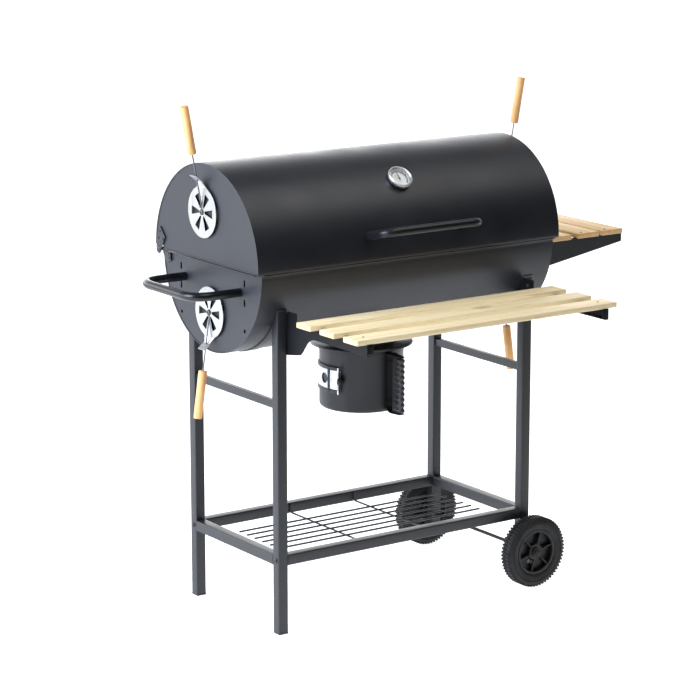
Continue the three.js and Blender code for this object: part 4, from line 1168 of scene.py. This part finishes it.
def front_bracket_outline(leg_y, reach, top, bottom):
    """A bracket in (y, z): a tab on the leg's inner face, an arm under the slats and a curve between them."""
    tab = [(-leg_y, TAB_BOTTOM), (-leg_y, TAB_TOP), (TAB_Y, TAB_TOP)]
    arm = [(TAB_Y, top), (-reach, top), (-reach, bottom), (-300, bottom)]
    curve = [(-288, bottom - 1.5), (-277, bottom - 6), (-268, bottom - 13), (-256, 672), (-250, 664),
             (-241, 656), (TAB_Y, 653)]
    return tab + arm + curve


def make_front_bracket(end, sign):
    """A pressed bracket with three folded edges. Returns the heads of its two bolts."""
    node = f"front_shelf_bracket_{end}"
    x0, x1, y0, _, _, _ = box_mm(node)
    thickness = 2
    plate_x = x1 - thickness / 2 if sign > 0 else x0 + thickness / 2
    leg_y = -box_mm("leg_front_left")[2] - TUBE
    reach, top = -y0, FRONT_SHELF_TOP - SLAT_THICKNESS - GAP
    bottom = top - 25
    outline = front_bracket_outline(leg_y, reach, top, bottom)
    near, far = sorted((plate_x, plate_x - sign * 16))
    hem_near, hem_far = sorted((plate_x, plate_x - sign * 9))
    pressing = merge(plate([outline], thickness, across_x(plate_x), 0.4),
                     block(near, far, -reach, -230, top - thickness, top, 0.5),
                     block(hem_near, hem_far, -reach, -302, bottom, bottom + thickness, 0.5),
                     block(near, far, -reach, -reach + thickness, bottom + 4, top, 0.5))
    # painted shade: the pressing's darker paint stands in for the bowl's shadow
    bracket = piece(node + "_pressing", pressing, SHADED_BRACKET_PAINT, "trolley", [node])
    cut_away(bracket, rod((plate_x - 40, 0, BOWL_Z), (plate_x + 40, 0, BOWL_Z), BOWL_RADIUS + 3.3, 128))
    return [dome_head((plate_x - sign, -205, z), (-sign, 0, 0), 4.6, 2.8) for z in (672, 732)]


def make_front_shelf():
    screws = []
    bracket_x = box_mm("front_shelf_bracket_right")[0] + 8
    for i in (1, 2, 3):
        node = f"front_slat_{i}"
        x0, x1, y0, y1, z0, z1 = box_mm(node)
        board = block(x0, x1, y0, y1, z0, z1, 2.2, 3)
        piece(node + "_board", board, pine(i, 0), "trolley", [node])
        for x in (-bracket_x, bracket_x):
            screws.append(dome_head((x, (y0 + y1) / 2, z0 - 2.3), (0, 0, -1), 3.6, 2.2))
            if i == 3:
                screws.append(dome_head((x, (y0 + y1) / 2, z1), (0, 0, 1), 3.0, 0.8))
    for end, sign in ENDS:
        screws += make_front_bracket(end, sign)
    piece("front_shelf_screws", merge(*screws), SCREW, "trolley")


def make_side_shelf():
    thickness, screw_y, screw_shift = 2, 137, -14
    screws = []
    for i in (1, 2, 3):
        node = f"side_slat_{i}"
        x0, x1, y0, y1, z0, z1 = box_mm(node)
        board = block(x0, x1, y0, y1, z0, z1, 2.2, 3)
        piece(node + "_board", board, warm_pine(i, 1), "trolley", [node])
        for y in (-screw_y, screw_y):
            screws.append(dome_head(((x0 + x1) / 2 + screw_shift, y, z1), (0, 0, 1), 3.0, 1.0))
    for side, sign in SIDES:
        node = f"side_shelf_bracket_{side}"
        x0, x1, y0, y1, z0, z1 = box_mm(node)
        plate_y = y1 - thickness / 2 if sign > 0 else y0 + thickness / 2
        outline = rounded([(x0, z0, 0), (x1, z1 - 20, 0), (x1, z1, 0), (x0, z1, 0)], 2, 3)
        root_near, root_far = sorted((plate_y, plate_y - sign * 24))
        near, far = sorted((plate_y, plate_y - sign * 15))
        pressing = merge(plate([flat(outline)], thickness, across_y(plate_y), 0.4),
                         block(x0, x0 + thickness, root_near, root_far, z0, z1, 0.5),
                         block(x0 + 30, x1, near, far, z1 - thickness, z1, 0.5))
        piece(node + "_pressing", pressing, FRAME, "trolley", [node])
        for z in (z0 + 12, z1 - 14):
            screws.append(dome_head((x0 + thickness, plate_y - sign * 13, z), (1, 0, 0), 4.6, 2.8))
    piece("side_shelf_screws", merge(*screws), SCREW, "trolley")


# ---------- grates ----------


def make_grate(node, material, radius, runner_y):
    """Many bars across two round runners."""
    x0, x1, y0, y1, z0, z1 = box_mm(node)
    count, runner_radius = 27, 3
    runner_z, bar_z = z0 + runner_radius, z1 - radius
    wires = [rod((x0, y, runner_z), (x1, y, runner_z), runner_radius, 12, 0.8) for y in (-runner_y, runner_y)]
    for i in range(count):
        x = x0 + 2 * radius + (x1 - x0 - 4 * radius) * i / (count - 1)
        wires.append(rod((x, y0, bar_z), (x, y1, bar_z), radius, 10, 0.5))
    piece(node + "_wires", merge(*wires), material, node, [node])


def make_grates():
    for end, _ in ENDS:
        make_grate(f"cooking_grate_{end}", GRATE, 2, 196)
    make_grate("charcoal_grate", ENAMEL, 3, 150)


# ---------- ash pot ----------


def ring_part(inner, outer, start, end, low, high, edge=0.5):
    """A piece of a ring round the pot's axis."""
    steps = max(2, int(abs(end - start) / 3))
    outline = [*arc(inner, start, end, steps), *arc(outer, end, start, steps)]
    return plate([outline], high - low, Matrix.Translation((0, 0, (low + high) / 2)), edge)


def make_collar():
    """A collar that fits the bowl, with a dished flange and a sleeve that the pot slides over."""
    _, _, _, _, z0, z1 = box_mm("pot_collar")
    bore, flange_z = OUTLET_RADIUS + 0.2, POT_TOP + GAP
    profile = [(bore, flange_z), (93, flange_z), (93, z0), (93.8, z0), (95, z0 + 0.6), (95, flange_z - 0.4),
               (96, flange_z), (116, flange_z), (118.6, flange_z - 3.4), (120.4, flange_z - 3.8),
               (121, flange_z - 2.4), (119.4, flange_z + 0.6), (117, flange_z + 1.8), (84, flange_z + 2),
               (81, flange_z + 3.4), (80, flange_z + 6), (80, z1), (bore, z1), (bore, flange_z)]
    collar = piece("pot_collar_pressing", lathe(profile, 96), BARREL, "trolley",
                   ["pot_collar"])
    cut_away(collar, rod((-130, 0, BOWL_Z), (130, 0, BOWL_Z), BOWL_RADIUS + 0.5, 128))


def damper_drill(angle):
    """A round bar across the pot's wall, as wide as the air hole."""
    bar = rod((POT_RADIUS - 30, 0, DAMPER_HOLE_Z), (POT_RADIUS + 30, 0, DAMPER_HOLE_Z), DAMPER_HOLE, 48)
    return turned(bar, angle)


def make_pot():
    """A drawn pot with a rolled rim, the damper's two rails and a thin dark strip that crosses the damper."""
    radius, inner, low = POT_RADIUS, POT_RADIUS - SHEET, POT_BOTTOM
    wall = [(0, low + 1.6), (60, low + 1.6), (64, low), (radius - 9, low), (radius - 5, low + 0.8),
            (radius - 2, low + 3.2), (radius - 0.4, low + 6.4), (radius, low + 9), (radius, POT_TOP - 22),
            (radius + 0.6, POT_TOP - 20.5), (radius + 0.6, POT_TOP - 0.6), (radius, POT_TOP),
            (inner, POT_TOP), (inner, low + 9), (inner - 3, low + 4), (inner - 8, low + 2.4), (0, low + 3.2)]
    # the pot's darker paint is partly painted shade
    pot = piece("ash_pot_pressing", lathe(wall, 96), POT_PAINT_AND_SHADE, "ash_pot", ["ash_pot"])
    cut_away(pot, damper_drill(DAMPER_HOLE_ANGLE - DAMPER_TRAVEL))
    rail_height = 8
    parts = [ring_part(radius - 0.6, radius + 4, DAMPER_FROM - 8, DAMPER_TO - 1, rail_low, rail_high, 0.8)
             for rail_low, rail_high in ((DAMPER_LOW - rail_height, DAMPER_LOW - 0.5),
                                         (DAMPER_HIGH + 0.5, DAMPER_HIGH + rail_height))]
    # a thin dark strip standing off the wall across the damper
    parts.append(ring_part(radius + 3, radius + 4.5, DARK_STRIP_FROM, DARK_STRIP_TO, DAMPER_LOW - rail_height,
                           DAMPER_HIGH + rail_height, 0.3))
    piece("ash_pot_rails", merge(*parts), BARREL, "ash_pot")


def make_damper():
    """A curved strip with an air hole, a finger at its end and a small black knob."""
    face, finger_reach, finger_end = POT_RADIUS + 1, POT_RADIUS + 13, DAMPER_TO + 1.6
    strip = ring_part(face, face + SHEET, DAMPER_FROM, DAMPER_TO + 1.5, DAMPER_LOW + GAP, DAMPER_HIGH - GAP,
                      0.3)
    damper = piece("pot_damper_plate", strip, CHROME, "pot_damper", ["pot_damper"])
    cut_away(damper, damper_drill(DAMPER_HOLE_ANGLE))
    finger = ring_part(face, finger_reach, DAMPER_TO, finger_end, DAMPER_LOW + 1, DAMPER_HIGH - 1)
    cross = ring_part(face + 5, finger_reach, DAMPER_TO, finger_end, DAMPER_LOW - 8, DAMPER_HIGH + 10)
    piece("pot_damper_finger", merge(finger, cross), CHROME, "pot_damper")
    knob = lathe([(0, 0), (8, 0), (9, 1), (9, 5), (7.5, 7.5), (4, 9), (0, 9)], 32)
    place = basis(Z_AXIS, X_AXIS, Y_AXIS, (face + 9, 1.6, (DAMPER_LOW + DAMPER_HIGH) / 2))
    piece("pot_damper_knob", turned(moved(knob, place), DAMPER_TO), GRIP_PLASTIC, "pot_damper")


def strap_shape(path, width, end_width, thickness):
    """A flat strap bent along a path in the (x, z) plane, narrower the further out it is."""
    points = [Vector(p) for p in path]
    near, far = min(p.x for p in points), max(p.x for p in points)
    rings = []
    for i, point in enumerate(points):
        along = (points[min(i + 1, len(points) - 1)] - points[max(i - 1, 0)]).normalized()
        normal = Vector((along.z, 0, -along.x)) * (thickness / 2)
        side = Y_AXIS * (width + (end_width - width) * (point.x - near) / (far - near)) / 2
        near_edge, far_edge = point + side, point - side
        rings.append([near_edge + normal, near_edge - normal, far_edge - normal, far_edge + normal])
    return rings_to_shape(rings)


def grip_shape(bottom, top):
    """A deep, narrow moulding whose outer part is wider and carries a row of finger swells."""
    swells, steps, swell, web_half = 10, 8, 2.0, 4.2
    half_width, end_round, web_end = POT_GRIP_WIDTH / 2, 3.0, -POT_GRIP_DEPTH * 0.45
    rings = []
    for i in range(swells * steps + 1):
        height = bottom + (top - bottom) * i / (swells * steps)
        notch = swell * abs(math.cos(math.pi * i / steps)) ** 3
        past = max(0.0, end_round - min(height - bottom, top - height))
        inset = end_round - math.sqrt(end_round ** 2 - past ** 2)
        outer, half = -notch * 0.8 - inset, half_width - notch - inset * 0.5
        outline = [(-POT_GRIP_DEPTH, web_half - 0.6), (-POT_GRIP_DEPTH + 0.6, web_half),
                   (web_end - 2, web_half), (web_end + 1, half), (outer - 3.2, half),
                   (outer - 0.9, half - 1.0), (outer, half - 3.2)]
        rings.append([(u, v, height) for u, v in outline] + [(u, -v, height) for u, v in reversed(outline)])
    return rings_to_shape(rings)


def make_pot_handle():
    """A strap riveted to the pot's side, bent outwards at both ends, with a ribbed grip between them."""
    place = Matrix.Rotation(radians(POT_HANDLE_ANGLE), 4, "Z")
    thick, root, end = POT_STRAP_THICKNESS, POT_RADIUS + 0.7, POT_HANDLE_REACH - 3
    middle, flat_start = root + thick / 2, POT_HANDLE_REACH - POT_GRIP_DEPTH - 2
    top, bottom = POT_HANDLE_TOP, POT_HANDLE_BOTTOM
    low, high = bottom - POT_HANDLE_DROP, top - 4
    path = rounded([(end, 0, high - thick / 2), (middle, 0, top - thick / 2), (middle, 0, bottom + 2),
                    (flat_start, 0, low + thick / 2), (end, 0, low + thick / 2)], 5, 5, closed=False)
    band = strap_shape(path, POT_HANDLE_WIDTH, POT_GRIP_WIDTH, thick)
    rivets = [dome_head((root + thick, y, z), (1, 0, 0), 3.2, 1.8)
              for y in (-7, 7) for z in (top - 20, bottom + 20)]
    strap = moved(merge(band, *rivets), place)
    # the strap shares the darker bracket paint, which carries painted shade
    piece("pot_handle_strap", strap, SHADED_BRACKET_PAINT, "ash_pot", ["pot_handle"])
    grip = grip_shape(low + thick + GAP, high - thick - GAP)
    grip = moved(grip, place @ Matrix.Translation((POT_HANDLE_REACH, 0, 0)))
    piece("pot_grip_ribbed", grip, GRIP_PLASTIC, "ash_pot", ["pot_grip"])


# ---------- studio, in metres ----------

FLOOR_HALF = 60
FLOOR_GLOW = 0.8
FLOOR_DARK_Y = -1.9          # up to here the floor in front lights nothing
FLOOR_BRIGHT_Y = -1.2        # from here on it glows fully
WALL_FRONT = 0.03
WALL_BACK = 4.8
SKY = 0.22

CAMERA_AZIMUTH = -34.876     # degrees
CAMERA_ELEVATION = 12.662
CAMERA_DISTANCE = 6.358
CAMERA_LENS = 139.1143       # millimetres, on a sensor 36 mm wide
CAMERA_TARGET = (0, 0, 0.5)
CAMERA_LEFT = 0.02656        # the camera stands this far left of and above the line to its target
CAMERA_RISE = 0.078976


def make_floor():
    """A pale floor. What lies far in front of the object glows for the eye only and lights nothing."""
    mesh = bpy.data.meshes.new("studio_floor")
    corners = [(u * FLOOR_HALF, v * FLOOR_HALF, 0) for u, v in ((-1, -1), (1, -1), (1, 1), (-1, 1))]
    mesh.from_pydata(corners, [], [(0, 1, 2, 3)])
    n = Nodes("studio_floor")
    n.shader.inputs["Roughness"].default_value = 0.9
    n.shader.inputs["Specular IOR Level"].default_value = 0.1
    n.shader.inputs["Emission Color"].default_value = (1, 1, 1, 1)
    bright = n.lit_or_seen(n.span(n.axes(n.place)["Y"], 0.0, 1.0, FLOOR_DARK_Y, FLOOR_BRIGHT_Y))
    n.join(n.span(bright, 0.0, FLOOR_GLOW, 0.0, 1.0), n.shader.inputs["Emission Strength"])
    n.join(n.mix(bright, (0.06, 0.06, 0.065), (0.9, 0.9, 0.9)), n.shader.inputs["Base Color"])
    mesh.materials.append(n.material)
    floor = bpy.data.objects.new("studio_floor", mesh)
    floor.location.z = -0.0005
    bpy.context.scene.collection.objects.link(floor)


def make_world():
    """A pale backdrop. It lights the object from behind, and fades out upwards and to the front."""
    world = bpy.data.worlds.new("studio")
    bpy.context.scene.world = world
    world.use_nodes = True
    n = Tree(world.node_tree)
    axes = n.axes(n.add("ShaderNodeTexCoord").outputs["Generated"])
    wall = n.span(axes["Y"], WALL_FRONT, WALL_BACK, 0.0, 0.6)
    wall_fade = n.span(axes["Z"], 1.0, 0.0, 0.16, 0.58)
    sky = n.span(axes["Z"], 0.0, SKY, 0.3, 0.8)
    light = n.add("ShaderNodeMath", operation="MULTIPLY_ADD")
    for value, socket in zip((wall, wall_fade, sky), light.inputs):
        n.join(value, socket)
    background = n.tree.nodes["Background"]
    background.inputs["Color"].default_value = (0.97, 0.985, 1.0, 1)
    n.join(n.lit_or_seen(light.outputs["Value"]), background.inputs["Strength"])


def add_light(name, place, target, size, power, colour):
    """A soft rectangular lamp that points at a target."""
    light = bpy.data.lights.new(name, "AREA")
    light.shape = "RECTANGLE"
    light.size, light.size_y = size
    light.energy = power
    light.color = colour
    lamp = bpy.data.objects.new(name, light)
    lamp.location = place
    lamp.rotation_mode = "QUATERNION"
    lamp.rotation_quaternion = (Vector(target) - Vector(place)).to_track_quat("-Z", "Y")
    bpy.context.scene.collection.objects.link(lamp)


def make_lights():
    add_light("key_left", (-3.6, 0.3, 2.2), (0, 0.1, 0.8), (2.4, 2.4), 215, (0.82, 0.94, 1.16))
    add_light("top_softbox", (0.6, -1.2, 3.5), (0, 0.0, 0.8), (3.6, 1.8), 48, (1.0, 0.985, 0.95))


def make_camera():
    azimuth, elevation = radians(CAMERA_AZIMUTH), radians(CAMERA_ELEVATION)
    back = Vector((math.sin(azimuth) * math.cos(elevation), -math.cos(azimuth) * math.cos(elevation),
                   math.sin(elevation)))
    right = Vector((math.cos(azimuth), math.sin(azimuth), 0))
    up = back.cross(right)
    data = bpy.data.cameras.new("camera")
    data.sensor_width = 36.0
    data.lens = CAMERA_LENS
    data.clip_start, data.clip_end = 0.1, 200
    camera = bpy.data.objects.new("camera", data)
    camera.location = (Vector(CAMERA_TARGET) + ORIGIN + back * CAMERA_DISTANCE - right * CAMERA_LEFT
                       + up * CAMERA_RISE)
    camera.rotation_mode = "QUATERNION"
    camera.rotation_quaternion = Matrix((right, up, back)).transposed().to_quaternion()
    bpy.context.scene.collection.objects.link(camera)
    bpy.context.scene.camera = camera


make_camera()
make_world()
make_lights()
make_floor()
bpy.context.scene.view_settings.view_transform = "Standard"

make_trolley()
make_wire_shelf()
make_frame_bolts()
make_wheels()
make_bowl()
make_lid()
make_hinges()
make_vents()
make_handles()
make_thermometer()
make_front_shelf()
make_side_shelf()
make_grates()
make_collar()
make_pot()
make_damper()
make_pot_handle()
